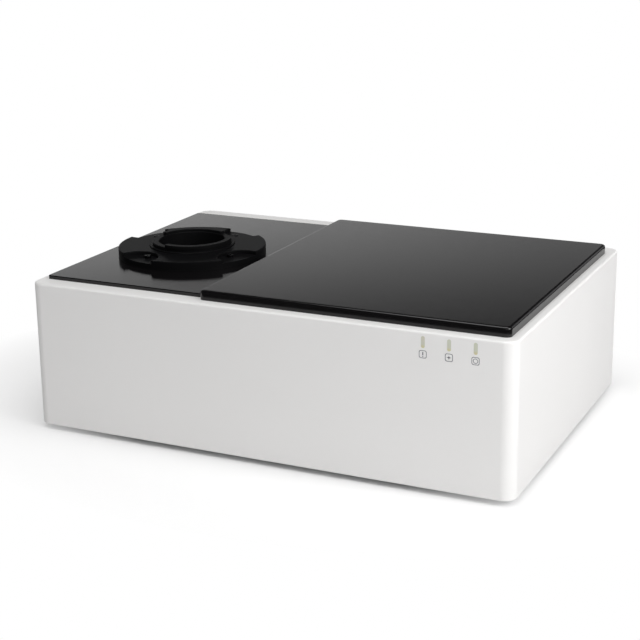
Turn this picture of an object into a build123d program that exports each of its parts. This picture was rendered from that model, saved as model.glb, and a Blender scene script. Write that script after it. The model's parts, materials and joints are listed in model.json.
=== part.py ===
from build123d import *
from math import acos, atan2, cos, degrees, hypot, pi, radians, sin, sqrt, tan
import os

# Benchtop near-infrared spectrophotometer, in millimetres.
# +X is to the operator's right, +Y to the back, +Z up, and z = 0 is the bench under the feet.

# Clearances
SLIDE = 0.05          # radial gap of a shaft or plug in its hole
REST = 0.3            # gap between neighbouring covers and sheets
CLEAR_HOLE = 0.25     # radial gap of a screw in its clearance hole

# Casing: a deep folded cover, open underneath
CASING_W = 540.0
CASING_D = 380.0
CASING_H = 158.0
CASING_WALL = 2.0
CASING_CORNER_R = 14.0
CASING_EDGE_R = 2.5
PILLAR_R = 5.0
REAR_WINDOW_W = 300.0
REAR_WINDOW_H = 104.0
REAR_WINDOW_Z = 82.0
REAR_WINDOW_R = 6.0

# Chassis pan with its folded-up connector panel
PAN_T = 2.0
PAN_RIM_H = 14.0
PANEL_LAP = 7.0
INTAKE_SLOTS = 7
INTAKE_SLOT_W = 4.0
INTAKE_SLOT_L = 46.0
INTAKE_PITCH = 10.0

# Push-in rubber feet
FOOT_H = 6.0
FOOT_R = 11.0
FOOT_NECK_R = 4.0
FOOT_BARB_R = 5.4
FOOT_BARB_H = 3.0
FOOT_INSET = 52.0

# Case screws, driven up into the casing's pillars
CASE_SCREW_R = 1.6
CASE_SCREW_HEAD_R = 3.6
CASE_SCREW_HEAD_H = 2.4
CASE_SCREW_L = 12.0

# Left top panel, thin, under the sample stage
LEFT_PANEL_W = 190.0
LEFT_PANEL_D = 324.0
LEFT_PANEL_T = 4.0
LEFT_PANEL_FRONT = 21.0     # from the casing's front face
LEFT_PANEL_SIDE = 9.0       # from the casing's left face
PANEL_CORNER_R = 3.0
PANEL_EDGE_R = 0.9

# Right top cover, thicker, a shallow moulded lid with ribs
RIGHT_COVER_W = 330.7
RIGHT_COVER_D = 344.5
RIGHT_COVER_T = 10.0
RIGHT_COVER_FRONT = 12.5
RIGHT_COVER_SIDE = 10.0
COVER_WALL = 2.5
COVER_CORNER_R = 6.0
COVER_EDGE_R = 3.0
COVER_RIBS = 3

# Indicator light pipes in the front wall
PIPE_COUNT = 3
PIPE_PITCH = 26.2
PIPE_FIRST = 448.3          # from the casing's left face
PIPE_W = 3.8
PIPE_H = 11.7
PIPE_BELOW_TOP = 10.15      # centre below the casing's top
PIPE_FLANGE = 1.1
PIPE_FLANGE_T = 1.5
PEG_R = 2.5
PEG_L = 6.0
INDICATOR_BOARD_H = 22.0
INDICATOR_BOARD_MARGIN = 14.0
BOARD_T = 1.6
LED_R = 1.5

# Stage adapter: the round plate that carries the sample turntable
STAGE_FROM_LEFT = 104.4
STAGE_FROM_FRONT = 166.0
ADAPTER_R = 83.0
ADAPTER_T = 10.0
ADAPTER_EDGE_R = 1.0
SPIGOT_R = 50.0
POCKETS = 4
POCKET_FIRST_DEG = -20.0
POCKET_R = 24.5
POCKET_AT_R = 80.0
POCKET_DEPTH = 4.0
ADAPTER_SCREW_AT_R = 64.0
ADAPTER_SCREW_R = 2.0
ADAPTER_SCREW_HEAD_R = 3.8
ADAPTER_SCREW_HEAD_H = 2.8
SOCKET_R = 1.4
SOCKET_DEPTH = 1.6

# Turntable: the ring that the sample cup drops into
CUP_BORE_R = 37.0
CUP_DEPTH = 37.5
LEDGE_IN = 2.5
LEDGE_T = 2.0
HUB_WALL = 4.0
RIM_WALL = 3.5
STEP_R = 47.5
STEP_TOP = 2.5              # above the adapter's top
STEP_T = 5.2
RIM_TOP = 8.0               # above the adapter's top
ARC_R_IN = 39.0
ARC_R_OUT = 45.0
FRONT_ARC_DEG = (-100.0, 16.0)
BACK_ARC_DEG = (68.0, 165.0)
NOTCH_R = 2.4
NOTCH_DEPTH = 2.0
NOTCH_BEYOND_DEG = 5.5
STEP_GAP = 0.5
RIM_EDGE = 0.6

# Bush, gear train and motor of the turntable
BUSH_WALL = 2.95
BUSH_FLANGE_T = 1.25
DRIVE_PLATE_T = 3.0
DRIVE_PLATE_R = 74.0
GEAR_MODULE = 1.5
GEAR_TEETH = 64
PINION_TEETH = 16
GEAR_W = 8.0
GEAR_BELOW_PLATE = 1.0
BACKLASH = 0.35
PRESSURE_DEG = 20.0
SNAP_RING_T = 1.2
SNAP_RING_W = 3.3
SNAP_GROOVE = 0.9
SNAP_GAP_DEG = 14.0
DRIVE_BRACKET_T = 2.0
DRIVE_BRACKET_W = 84.0
DRIVE_BRACKET_D = 44.0
STANDOFF_R = 3.0
MOTOR_SIDE = 42.0
MOTOR_L = 34.0
MOTOR_CHAMFER = 4.0
MOTOR_PILOT_R = 11.0
MOTOR_SHAFT_R = 2.5
PINION_BOSS_R = 6.0
HUB_TO_BRACKET = 1.0

# Optical bench
BENCH_T = 8.0
BENCH_W = 476.0
BENCH_D = 240.0
BENCH_FRONT = 22.0          # from the casing's front face
BENCH_CORNER_R = 8.0
BENCH_POST_H = 12.0
BENCH_POST_R = 7.0
BENCH_POST_INSET = 40.0
OPTIC_H = 72.0              # height of the light path over the bench
FOOT_PLATE_T = 5.0

# Integrating sphere under the sample
SPHERE_R = 38.0
SPHERE_WALL = 5.0
SPHERE_SEAM_UP = 18.0
SPHERE_FLANGE_R = 37.5
SPHERE_FLANGE_T = 3.0
PORT_R = 8.0
PORT_WALL = 4.0
PORT_REACH = 46.0
NECK_R = 20.0
WINDOW_CELL_R = 35.0
WINDOW_CELL_T = 5.0
WINDOW_R = 18.0
WINDOW_T = 3.0
WINDOW_LIP = 3.0
CELL_TO_TURNTABLE = 1.5
STAND_R = 14.0
STAND_FOOT_R = 26.0
DETECTOR_R = 11.0
DETECTOR_L = 18.0
DETECTOR_FLANGE_R = 14.0
DETECTOR_FLANGE_T = 3.0
DETECTOR_BOARD = (56.0, 44.0)

# Light path over the bench, from the casing's left and front faces
LAMP_AT = (190.0, 62.0)
WHEEL_AT_X = 252.0
ENTRANCE_AT = (300.0, 62.0)
COLLIMATOR_AT = (486.0, 80.0)
GRATING_AT = (330.0, 156.0)
FOCUS_AT = (486.0, 222.0)
EXIT_AT = (276.0, 214.0)
LENS_ALONG = 0.55           # share of the way from the exit slit to the sphere
SHUTTER_ALONG = 0.24

# Lamp and its finned holder
REFLECTOR_R = 17.5
REFLECTOR_DEPTH = 16.0
REFLECTOR_WALL = 1.5
REFLECTOR_NECK_R = 6.0
BULB_R = 3.5
BULB_L = 12.0
SOCKET_BLOCK = (16.0, 18.0, 18.0)
LAMP_HOLDER_W = 52.0
LAMP_HOLDER_T = 8.0
FIN_COUNT = 7
FIN_T = 1.6
FIN_DEPTH = 16.0
FIN_H = 30.0

# Filter wheel
WHEEL_R = 34.0
WHEEL_T = 4.0
WHEEL_HUB_R = 8.0
WHEEL_HUB_L = 10.0
FILTER_COUNT = 6
FILTER_AT_R = 24.0
FILTER_R = 8.0
FILTER_T = 2.0
FILTER_LIP = 1.0
FILTER_MOTOR_R = 14.0
FILTER_MOTOR_L = 18.0
FILTER_BRACKET_T = 4.0

# Slits and mirrors
SLIT_PLATE = (36.0, 4.0)
SLIT_OVER = 18.0
SLIT_W = 1.2
SLIT_H = 10.0
SLIT_RECESS_R = 8.0
SLIT_RECESS_DEPTH = 2.5
MIRROR_R = 25.0
MIRROR_T = 8.0
MIRROR_CURVE_R = 300.0
MIRROR_CELL = 60.0
MIRROR_CELL_T = 12.0
MIRROR_LIP = 2.5
MOUNT_FOOT_D = 34.0

# Grating turret
TURRET_SHAFT_R = 5.0
TURRET_TABLE_R = 22.0
TURRET_TABLE_T = 5.0
TURRET_COLLAR_R = 11.0
TURRET_COLLAR_T = 4.0
GRATING = (34.0, 8.0, 34.0)
SECTOR_MODULE = 1.0
SECTOR_FULL_TEETH = 90
SECTOR_TEETH = 15
SECTOR_T = 5.0
SECTOR_UP = 14.0            # underside above the bench
SECTOR_PINION_TEETH = 15
GRATING_MOTOR_SIDE = 35.0
GRATING_MOTOR_L = 30.0
GRATING_BRACKET_T = 2.5
GRATING_BRACKET_OVER = 9.0
GRATING_PINION_SHAFT_R = 2.5

# Relay lens and reference shutter
LENS_R = 14.0
LENS_EDGE = 2.5
LENS_CURVE_R = 30.0
LENS_MOUNT = (40.0, 10.0)
SOLENOID_R = 14.0
SOLENOID_H = 34.0
SHUTTER_SHAFT_R = 2.0
SHUTTER_ARM_L = 32.0
SHUTTER_ARM = (7.0, 3.0)
SHUTTER_FLAG = (24.0, 1.6, 26.0)

# Rear connections, measured from the casing's middle and from the bench
INLET_AT = (108.0, 62.0)
SWITCH_AT = (108.0, 108.0)
USB_AT = (40.0, 56.0)
FAN_AT = (-92.0, 82.0)
FLANGE_T = 2.0
INLET_CAVITY = (24.5, 16.6)
INLET_CAVITY_DEPTH = 18.0
INLET_BODY_DEPTH = 24.0
INLET_WALL = 1.6
INLET_FLANGE_LAP = 2.6
INLET_CORNER_CUT = 4.0
PIN = (2.0, 4.0)
PIN_SPACING = 14.0
EARTH_UP = 4.0
PIN_L = 15.0
FUSE_DRAWER = (22.0, 9.0)
FUSE_DRAWER_DEPTH = 20.0
FUSE_GAP = 2.0
ROCKER_W = 9.8
ROCKER_H = 15.2
ROCKER_RISE = 4.6
ROCKER_TILT_DEG = 7.0
ROCKER_PIVOT_DEPTH = 3.7    # behind the connector panel's face
ROCKER_PIN_R = 1.0
SWITCH_WALL = 2.0
SWITCH_DEPTH = 16.0
SWITCH_FLOOR = 4.0
SWITCH_FLANGE_LAP = 2.0
USB_OPEN = (8.5, 7.8)
USB_WALL = 1.8
USB_DEPTH = 16.0
USB_TONGUE = (5.6, 3.0)
USB_FLANGE = (24.0, 14.0)
FAN_SIDE = 60.0
FAN_DEPTH = 20.0
FAN_DUCT_R = 28.5
FAN_ROTOR_R = 27.0
FAN_HUB_R = 12.0
FAN_BLADES = 7
FAN_BLADE_T = 1.4
FAN_SHAFT_R = 1.5
FAN_SCREW_PITCH = 50.0
FAN_SCREW_R = 2.0
FAN_SCREW_HEAD_R = 3.3
GUARD_RINGS = 4
GUARD_WIRE = 1.6
GUARD_T = 1.5

# Boards and power supply
SUPPLY = (130.0, 62.0, 44.0)
SUPPLY_AT = (-176.0, 122.0)
SUPPLY_UP = 5.0
SUPPLY_POST_INSET = (15.0, 7.0)
SUPPLY_WALL = 1.5
SUPPLY_VENTS = 9
SUPPLY_VENT_W = 3.0
MAIN_BOARD = (176.0, 64.0)
MAIN_BOARD_AT = (40.0, 118.0)
MAIN_BOARD_UP = 9.0
BOARD_POST_R = 3.5
BOARD_POST_INSET = 7.0

# Heights and places worked out from the sizes above
BASE_Z = FOOT_H
PAN_TOP = BASE_Z + PAN_T
TOP_Z = BASE_Z + CASING_H
ROOF_Z = TOP_Z - CASING_WALL
LEFT_X = -CASING_W / 2
FRONT_Y = -CASING_D / 2
BACK_Y = CASING_D / 2
STAGE_X = LEFT_X + STAGE_FROM_LEFT
STAGE_Y = FRONT_Y + STAGE_FROM_FRONT
PANEL_TOP = TOP_Z + LEFT_PANEL_T
ADAPTER_TOP = PANEL_TOP + ADAPTER_T
POCKET_Z = ADAPTER_TOP - POCKET_DEPTH
RIM_Z = ADAPTER_TOP + RIM_TOP
STEP_Z = ADAPTER_TOP + STEP_TOP
CUP_FLOOR_Z = RIM_Z - CUP_DEPTH
TURNTABLE_LOW_Z = CUP_FLOOR_Z - LEDGE_T
HUB_R = CUP_BORE_R + HUB_WALL
BUSH_R_IN = HUB_R + SLIDE
BUSH_R_OUT = BUSH_R_IN + BUSH_WALL
STEP_LOW_Z = STEP_Z - STEP_T
BUSH_SEAT_Z = STEP_LOW_Z - SLIDE - BUSH_FLANGE_T
DRIVE_PLATE_TOP = ROOF_Z
DRIVE_PLATE_LOW = ROOF_Z - DRIVE_PLATE_T
GEAR_TOP = DRIVE_PLATE_LOW - GEAR_BELOW_PLATE
GEAR_LOW = GEAR_TOP - GEAR_W
GEAR_CENTRES = GEAR_MODULE * (GEAR_TEETH + PINION_TEETH) / 2
MOTOR_Y = STAGE_Y + GEAR_CENTRES
BRACKET_TOP = min(TURNTABLE_LOW_Z - HUB_TO_BRACKET, GEAR_LOW - HUB_TO_BRACKET)
BRACKET_LOW = BRACKET_TOP - DRIVE_BRACKET_T
BENCH_LOW = PAN_TOP + BENCH_POST_H
BENCH_TOP = BENCH_LOW + BENCH_T
OPTIC_Z = BENCH_TOP + OPTIC_H
BENCH_Y0 = FRONT_Y + BENCH_FRONT
CELL_TOP = TURNTABLE_LOW_Z - CELL_TO_TURNTABLE
CELL_LOW = CELL_TOP - WINDOW_CELL_T
PANEL_Y = BACK_Y - CASING_WALL - REST       # outer face of the connector panel
PANEL_IN_Y = PANEL_Y - PAN_T
FLANGE_Y = PANEL_Y + FLANGE_T


def block(x0, x1, y0, y1, z0, z1):
    """A box between two corners."""
    return Pos((x0 + x1) / 2, (y0 + y1) / 2, (z0 + z1) / 2) * Box(x1 - x0, y1 - y0, z1 - z0)


def centred(x, y, w, d, z0, z1):
    """A box about an upright line."""
    return block(x - w / 2, x + w / 2, y - d / 2, y + d / 2, z0, z1)


def rounded(x, y, w, d, z0, z1, r):
    """An upright block with rounded corners about an upright line."""
    return Pos(x, y, z0) * extrude(RectangleRounded(w, d, r), z1 - z0)


def post(x, y, z0, z1, r):
    """An upright cylinder."""
    return Pos(x, y, (z0 + z1) / 2) * Cylinder(r, z1 - z0)


def bar_y(x, z, y0, y1, r):
    """A cylinder along Y."""
    return Pos(x, (y0 + y1) / 2, z) * Rot(X=90) * Cylinder(r, y1 - y0)


def bar_x(y, z, x0, x1, r):
    """A cylinder along X."""
    return Pos((x0 + x1) / 2, y, z) * Rot(Y=90) * Cylinder(r, x1 - x0)


def turned(points):
    """A solid of revolution about Z from (radius, height) points."""
    profile = make_face(Polyline(*[(r, 0, z) for r, z in points], close=True))
    return revolve(profile, Axis.Z)


def around(count, radius, first_deg=0.0):
    """Points evenly spaced on a circle."""
    turns = [radians(first_deg + 360 * i / count) for i in range(count)]
    return [(radius * cos(a), radius * sin(a)) for a in turns]


def corners(x, y, dx, dy):
    """The four corners of a rectangle about a point."""
    return [(x + sx * dx, y + sy * dy) for sx in (-1, 1) for sy in (-1, 1)]


def on_bench(from_left, from_front):
    """A place given from the casing's left and front faces."""
    return (LEFT_X + from_left, FRONT_Y + from_front)


def heading(start, end):
    """The direction from one place to another, in degrees from +X."""
    return degrees(atan2(end[1] - start[1], end[0] - start[0]))


def halfway_heading(place, one, other):
    """The direction that a mirror at place faces to send light from one place to the other."""
    a = radians(heading(place, one))
    b = radians(heading(place, other))
    return degrees(atan2(sin(a) + sin(b), cos(a) + cos(b)))


def along(start, end, share):
    """A place part of the way between two others."""
    return tuple(s + share * (e - s) for s, e in zip(start, end))


def facing(place, deg, part):
    """A part drawn facing +X at the origin, turned and moved to its place."""
    return Pos(place[0], place[1], 0) * Rot(Z=deg) * part


LAMP = on_bench(*LAMP_AT)
ENTRANCE = on_bench(*ENTRANCE_AT)
COLLIMATOR = on_bench(*COLLIMATOR_AT)
GRATING_PLACE = on_bench(*GRATING_AT)
FOCUS = on_bench(*FOCUS_AT)
EXIT = on_bench(*EXIT_AT)
STAGE = (STAGE_X, STAGE_Y)
LENS = along(EXIT, STAGE, LENS_ALONG)
SHUTTER = along(EXIT, STAGE, SHUTTER_ALONG)
WHEEL_X = LEFT_X + WHEEL_AT_X
WHEEL_Z = OPTIC_Z - FILTER_AT_R
BEAM_IN_DEG = heading(STAGE, EXIT)
DETECTOR_DEG = -90.0


# Gear teeth
def tooth_half_angle(teeth, module, radius, backlash):
    """Half the angle that an involute tooth covers at a radius."""
    pitch_r = module * teeth / 2
    base_r = pitch_r * cos(radians(PRESSURE_DEG))
    here = acos(min(1.0, base_r / max(radius, base_r)))
    at_pitch = radians(PRESSURE_DEG)
    thick = (pi * module / 2 - backlash / 2) / (2 * pitch_r)
    return thick + (tan(at_pitch) - at_pitch) - (tan(here) - here)


def gear_outline(teeth, module, backlash, count=None):
    """Points of a spur gear's outline, with involute flanks, for all or some of its teeth."""
    pitch_r = module * teeth / 2
    root_r = pitch_r - 1.25 * module
    tip_r = pitch_r + module
    levels = [root_r, pitch_r, tip_r]
    points = []
    for i in range(count or teeth):
        middle = 2 * pi * i / teeth
        for r in levels:
            a = middle - tooth_half_angle(teeth, module, r, backlash)
            points.append((r * cos(a), r * sin(a)))
        for r in reversed(levels):
            a = middle + tooth_half_angle(teeth, module, r, backlash)
            points.append((r * cos(a), r * sin(a)))
    return points


def spur_gear(teeth, module, width, first_deg=0.0):
    """A spur gear standing on z = 0, with one tooth's middle at first_deg."""
    outline = make_face(Polyline(*gear_outline(teeth, module, BACKLASH), close=True))
    return Rot(Z=first_deg) * extrude(outline, width)


# Casing and its covers
def pillar_places():
    """Where the casing's screw pillars stand, just inside the pan's rim."""
    inset = CASING_WALL + REST + PAN_T + PILLAR_R + 1
    return corners(0, 0, CASING_W / 2 - inset - 3, CASING_D / 2 - inset - 3)


def pipe_places():
    """The middle of each light pipe, as X and Z."""
    return [(LEFT_X + PIPE_FIRST + i * PIPE_PITCH, TOP_Z - PIPE_BELOW_TOP) for i in range(PIPE_COUNT)]


def upright_slot(x, z, y0, y1, w, h):
    """A slot with round ends, standing upright, through a wall between y0 and y1."""
    shape = SlotOverall(h, w, rotation=90)
    return Pos(x, y1, z) * Rot(X=90) * extrude(shape, y1 - y0)


def peg_places():
    """Where the pegs that carry the indicator board stand, as X and Z."""
    first, z = pipe_places()[0]
    last, z = pipe_places()[-1]
    return [(first - PIPE_PITCH / 2, z), (last + PIPE_PITCH / 2, z)]


def casing():
    body = rounded(0, 0, CASING_W, CASING_D, BASE_Z, TOP_Z, CASING_CORNER_R)
    body = fillet(body.faces().sort_by(Axis.Z)[-1].edges(), CASING_EDGE_R)
    inner_w = CASING_W - 2 * CASING_WALL
    inner_d = CASING_D - 2 * CASING_WALL
    body -= rounded(0, 0, inner_w, inner_d, BASE_Z, ROOF_Z, CASING_CORNER_R - CASING_WALL)
    body -= post(*STAGE, ROOF_Z, TOP_Z, SPIGOT_R + REST)
    for x, y in adapter_screw_places():
        body -= post(x, y, ROOF_Z, TOP_Z, ADAPTER_SCREW_R + CLEAR_HOLE)
    window = rounded(0, 0, REAR_WINDOW_W, REAR_WINDOW_H, 0, 2 * CASING_WALL, REAR_WINDOW_R)
    body -= Pos(0, BACK_Y + CASING_WALL / 2, REAR_WINDOW_Z) * Rot(X=90) * window
    wall_y = FRONT_Y + CASING_WALL
    for x, z in pipe_places():
        body -= upright_slot(x, z, FRONT_Y, wall_y, PIPE_W + 2 * SLIDE, PIPE_H + 2 * SLIDE)
    for x, z in peg_places():
        body += bar_y(x, z, wall_y, wall_y + PEG_L, PEG_R)
    for x, y in pillar_places():
        body += post(x, y, PAN_TOP, ROOF_Z, PILLAR_R)
        body -= post(x, y, PAN_TOP, PAN_TOP + CASE_SCREW_L, CASE_SCREW_R + SLIDE)
    return body


def case_screws():
    """Pan-head screws that hold the casing down on the pan."""
    hole_r = CASE_SCREW_R
    one = post(0, 0, BASE_Z - CASE_SCREW_HEAD_H, BASE_Z, CASE_SCREW_HEAD_R)
    one = fillet(one.edges().sort_by(Axis.Z)[0], CASE_SCREW_HEAD_H / 3)
    one += post(0, 0, BASE_Z, PAN_TOP + CASE_SCREW_L - 2, hole_r)
    one -= post(0, 0, BASE_Z - CASE_SCREW_HEAD_H, BASE_Z - CASE_SCREW_HEAD_H / 3, SOCKET_R)
    return Compound([Pos(x, y, 0) * one for x, y in pillar_places()])


def foot_places():
    return corners(0, 0, CASING_W / 2 - FOOT_INSET, CASING_D / 2 - FOOT_INSET)


def rubber_feet():
    """Push-in feet: a tapered pad, a neck through the pan and a barb above it."""
    neck_top = PAN_TOP + SLIDE
    one = turned([
        (0, 0), (FOOT_R, 0), (FOOT_R + 1, BASE_Z), (FOOT_NECK_R, BASE_Z), (FOOT_NECK_R, neck_top),
        (FOOT_BARB_R, neck_top), (FOOT_NECK_R - 1, neck_top + FOOT_BARB_H), (0, neck_top + FOOT_BARB_H),
    ])
    return Compound([Pos(x, y, 0) * one for x, y in foot_places()])


def base_pan():
    """The chassis: a shallow pan whose back is folded up as the connector panel."""
    gap = CASING_WALL + REST
    w = CASING_W - 2 * gap
    d = CASING_D - 2 * gap
    r = CASING_CORNER_R - gap
    pan = rounded(0, 0, w, d, BASE_Z, BASE_Z + PAN_RIM_H, r)
    pan -= rounded(0, 0, w - 2 * PAN_T, d - 2 * PAN_T, PAN_TOP, BASE_Z + PAN_RIM_H, r - PAN_T)
    half = REAR_WINDOW_W / 2 + PANEL_LAP
    top = REAR_WINDOW_Z + REAR_WINDOW_H / 2 + PANEL_LAP
    pan += block(-half, half, PANEL_IN_Y, PANEL_Y, BASE_Z, top)
    for x, y in foot_places():
        pan -= post(x, y, BASE_Z, PAN_TOP, FOOT_NECK_R + SLIDE)
    for x, y in pillar_places():
        pan -= post(x, y, BASE_Z, PAN_TOP, CASE_SCREW_R + CLEAR_HOLE)
    for x, y in board_post_places():
        pan += post(x, y, PAN_TOP, PAN_TOP + MAIN_BOARD_UP, BOARD_POST_R)
    for x, y in supply_post_places():
        pan += post(x, y, PAN_TOP, PAN_TOP + SUPPLY_UP, BOARD_POST_R)
    first = SUPPLY_AT[0] - INTAKE_PITCH * (INTAKE_SLOTS - 1) / 2
    for i in range(INTAKE_SLOTS):
        slot = extrude(SlotOverall(INTAKE_SLOT_L, INTAKE_SLOT_W, rotation=90), PAN_T)
        pan -= Pos(first + i * INTAKE_PITCH, SUPPLY_AT[1], BASE_Z) * slot
    y0, y1 = PANEL_IN_Y, PANEL_Y
    pan -= bar_y(*FAN_AT, y0, y1, FAN_DUCT_R)
    for x, z in fan_screw_places():
        pan -= bar_y(x, z, y0, y1, FAN_SCREW_R + CLEAR_HOLE)
    pan -= rear_block(INLET_AT, inlet_body_size(), y0, y1, SLIDE)
    pan -= rear_block(SWITCH_AT, switch_body_size(), y0, y1, SLIDE)
    pan -= rear_block(USB_AT, usb_body_size(), y0, y1, SLIDE)
    return pan


def rear_block(place, size, y0, y1, gap=0.0):
    """A block through the connector panel, about a place given as X and Z."""
    x, z = place
    w, h = size
    return block(x - w / 2 - gap, x + w / 2 + gap, y0, y1, z - h / 2 - gap, z + h / 2 + gap)


def left_panel():
    x0 = LEFT_X + LEFT_PANEL_SIDE
    y0 = FRONT_Y + LEFT_PANEL_FRONT
    x = x0 + LEFT_PANEL_W / 2
    y = y0 + LEFT_PANEL_D / 2
    plate = rounded(x, y, LEFT_PANEL_W, LEFT_PANEL_D, TOP_Z, PANEL_TOP, PANEL_CORNER_R)
    plate = fillet(plate.faces().sort_by(Axis.Z)[-1].edges(), PANEL_EDGE_R)
    plate -= post(*STAGE, TOP_Z, PANEL_TOP, SPIGOT_R + REST)
    for sx, sy in adapter_screw_places():
        plate -= post(sx, sy, TOP_Z, PANEL_TOP, ADAPTER_SCREW_R + CLEAR_HOLE)
    return plate


def right_cover():
    """A shallow lid, open underneath, with cross ribs that rest on the casing."""
    x = CASING_W / 2 - RIGHT_COVER_SIDE - RIGHT_COVER_W / 2
    y = FRONT_Y + RIGHT_COVER_FRONT + RIGHT_COVER_D / 2
    top = TOP_Z + RIGHT_COVER_T
    lid = rounded(x, y, RIGHT_COVER_W, RIGHT_COVER_D, TOP_Z, top, COVER_CORNER_R)
    lid = fillet(lid.faces().sort_by(Axis.Z)[-1].edges(), COVER_EDGE_R)
    inner_w = RIGHT_COVER_W - 2 * COVER_WALL
    inner_d = RIGHT_COVER_D - 2 * COVER_WALL
    roof = top - COVER_WALL
    lid -= rounded(x, y, inner_w, inner_d, TOP_Z, roof, COVER_CORNER_R - COVER_WALL)
    for i in range(COVER_RIBS):
        share = (i + 1) / (COVER_RIBS + 1) - 0.5
        lid += centred(x + share * inner_w, y, COVER_WALL, inner_d, TOP_Z, roof)
        lid += centred(x, y + share * inner_d, inner_w, COVER_WALL, TOP_Z, roof)
    return lid


def light_pipes():
    """Clear bars with round ends, flush with the front, held by a flange behind the wall."""
    wall_y = FRONT_Y + CASING_WALL
    parts = []
    for x, z in pipe_places():
        pipe = upright_slot(x, z, FRONT_Y, wall_y, PIPE_W, PIPE_H)
        w = PIPE_W + 2 * PIPE_FLANGE
        h = PIPE_H + 2 * PIPE_FLANGE
        pipe += upright_slot(x, z, wall_y, wall_y + PIPE_FLANGE_T, w, h)
        parts.append(pipe)
    return Compound(parts)


def indicator_board():
    """The small board behind the light pipes, with one lamp for each."""
    y0 = FRONT_Y + CASING_WALL + PEG_L
    middle, z = pipe_places()[PIPE_COUNT // 2]
    half = PIPE_PITCH * (PIPE_COUNT - 1) / 2 + INDICATOR_BOARD_MARGIN + PEG_R
    low = ROOF_Z - 1 - INDICATOR_BOARD_H
    board = block(middle - half, middle + half, y0, y0 + BOARD_T, low, ROOF_Z - 1)
    for x, z in pipe_places():
        board += bar_y(x, z, y0 - 3, y0, LED_R)
    return board


# Stage adapter and turntable
def adapter_screw_places():
    ring = around(POCKETS, ADAPTER_SCREW_AT_R, POCKET_FIRST_DEG)
    return [(STAGE_X + x, STAGE_Y + y) for x, y in ring]


def stage_adapter():
    """A round plate with four scalloped pockets and a spigot through the casing's top."""
    disc = post(*STAGE, PANEL_TOP, ADAPTER_TOP, ADAPTER_R)
    for x, y in around(POCKETS, POCKET_AT_R, POCKET_FIRST_DEG):
        disc -= post(STAGE_X + x, STAGE_Y + y, POCKET_Z, ADAPTER_TOP, POCKET_R)
    top_edges = disc.faces().sort_by(Axis.Z)[-1].edges()
    disc = fillet(top_edges, ADAPTER_EDGE_R)
    disc += post(*STAGE, DRIVE_PLATE_LOW, PANEL_TOP, SPIGOT_R)
    disc -= post(*STAGE, DRIVE_PLATE_LOW, ADAPTER_TOP, BUSH_R_OUT + SLIDE)
    disc -= post(*STAGE, BUSH_SEAT_Z, ADAPTER_TOP, STEP_R + STEP_GAP)
    for x, y in adapter_screw_places():
        disc -= post(x, y, PANEL_TOP, POCKET_Z, ADAPTER_SCREW_R + CLEAR_HOLE)
    return disc


def adapter_screws():
    """Socket-head screws through adapter, panel and casing into the drive plate."""
    head_top = POCKET_Z + ADAPTER_SCREW_HEAD_H
    one = post(0, 0, POCKET_Z, head_top, ADAPTER_SCREW_HEAD_R)
    one = fillet(one.edges().sort_by(Axis.Z)[-1], 0.5)
    one += post(0, 0, DRIVE_PLATE_LOW, POCKET_Z, ADAPTER_SCREW_R)
    hexagon = Pos(0, 0, head_top - SOCKET_DEPTH) * extrude(RegularPolygon(SOCKET_R, 6), SOCKET_DEPTH)
    one -= hexagon
    return Compound([Pos(x, y, 0) * one for x, y in adapter_screw_places()])


def raised_arc(start_deg, end_deg):
    """One raised wall of the turntable, with round ends, standing on its step."""
    middle_r = (ARC_R_IN + ARC_R_OUT) / 2
    width = ARC_R_OUT - ARC_R_IN
    line = CenterArc((0, 0), middle_r, start_deg, end_deg - start_deg)
    wall = extrude(SlotArc(line, width), RIM_Z - STEP_Z)
    return Pos(0, 0, STEP_Z) * fillet(wall.faces().sort_by(Axis.Z)[-1].edges(), RIM_EDGE)


def turntable():
    """The cup ring: a deep bore with a ledge, a step, a rim and two raised arcs."""
    bore = CUP_BORE_R
    rim_r = bore + RIM_WALL
    groove_top = GEAR_LOW - SLIDE
    groove_low = groove_top - SNAP_RING_T - 2 * SLIDE
    ring = turned([
        (bore, CUP_FLOOR_Z), (bore, RIM_Z - RIM_EDGE), (bore + RIM_EDGE, RIM_Z), (rim_r, RIM_Z),
        (rim_r, STEP_Z), (STEP_R - RIM_EDGE, STEP_Z), (STEP_R, STEP_Z - RIM_EDGE),
        (STEP_R, STEP_LOW_Z), (HUB_R, STEP_LOW_Z), (HUB_R, groove_top),
        (HUB_R - SNAP_GROOVE, groove_top), (HUB_R - SNAP_GROOVE, groove_low), (HUB_R, groove_low),
        (HUB_R, TURNTABLE_LOW_Z), (bore - LEDGE_IN, TURNTABLE_LOW_Z), (bore - LEDGE_IN, CUP_FLOOR_Z),
    ])
    for start, end in (FRONT_ARC_DEG, BACK_ARC_DEG):
        arc = raised_arc(start, end)
        ring += arc - post(0, 0, STEP_Z, RIM_Z, bore + RIM_EDGE)
    notch_deg = radians(FRONT_ARC_DEG[0] - NOTCH_BEYOND_DEG)
    at = (ARC_R_IN + ARC_R_OUT) / 2
    notch = post(at * cos(notch_deg), at * sin(notch_deg), STEP_Z - NOTCH_DEPTH, RIM_Z, NOTCH_R)
    ring -= notch - post(0, 0, STEP_Z - NOTCH_DEPTH, RIM_Z, rim_r)
    return Pos(*STAGE, 0) * ring


def turntable_bush():
    """A flanged slide bush between the turntable's hub and the adapter."""
    seat = BUSH_SEAT_Z
    flange_top = seat + BUSH_FLANGE_T
    flange_r = STEP_R - 2 * STEP_GAP
    return Pos(*STAGE, 0) * turned([
        (BUSH_R_IN, DRIVE_PLATE_LOW), (BUSH_R_OUT, DRIVE_PLATE_LOW), (BUSH_R_OUT, seat),
        (flange_r, seat), (flange_r, flange_top), (BUSH_R_IN, flange_top),
    ])


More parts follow.
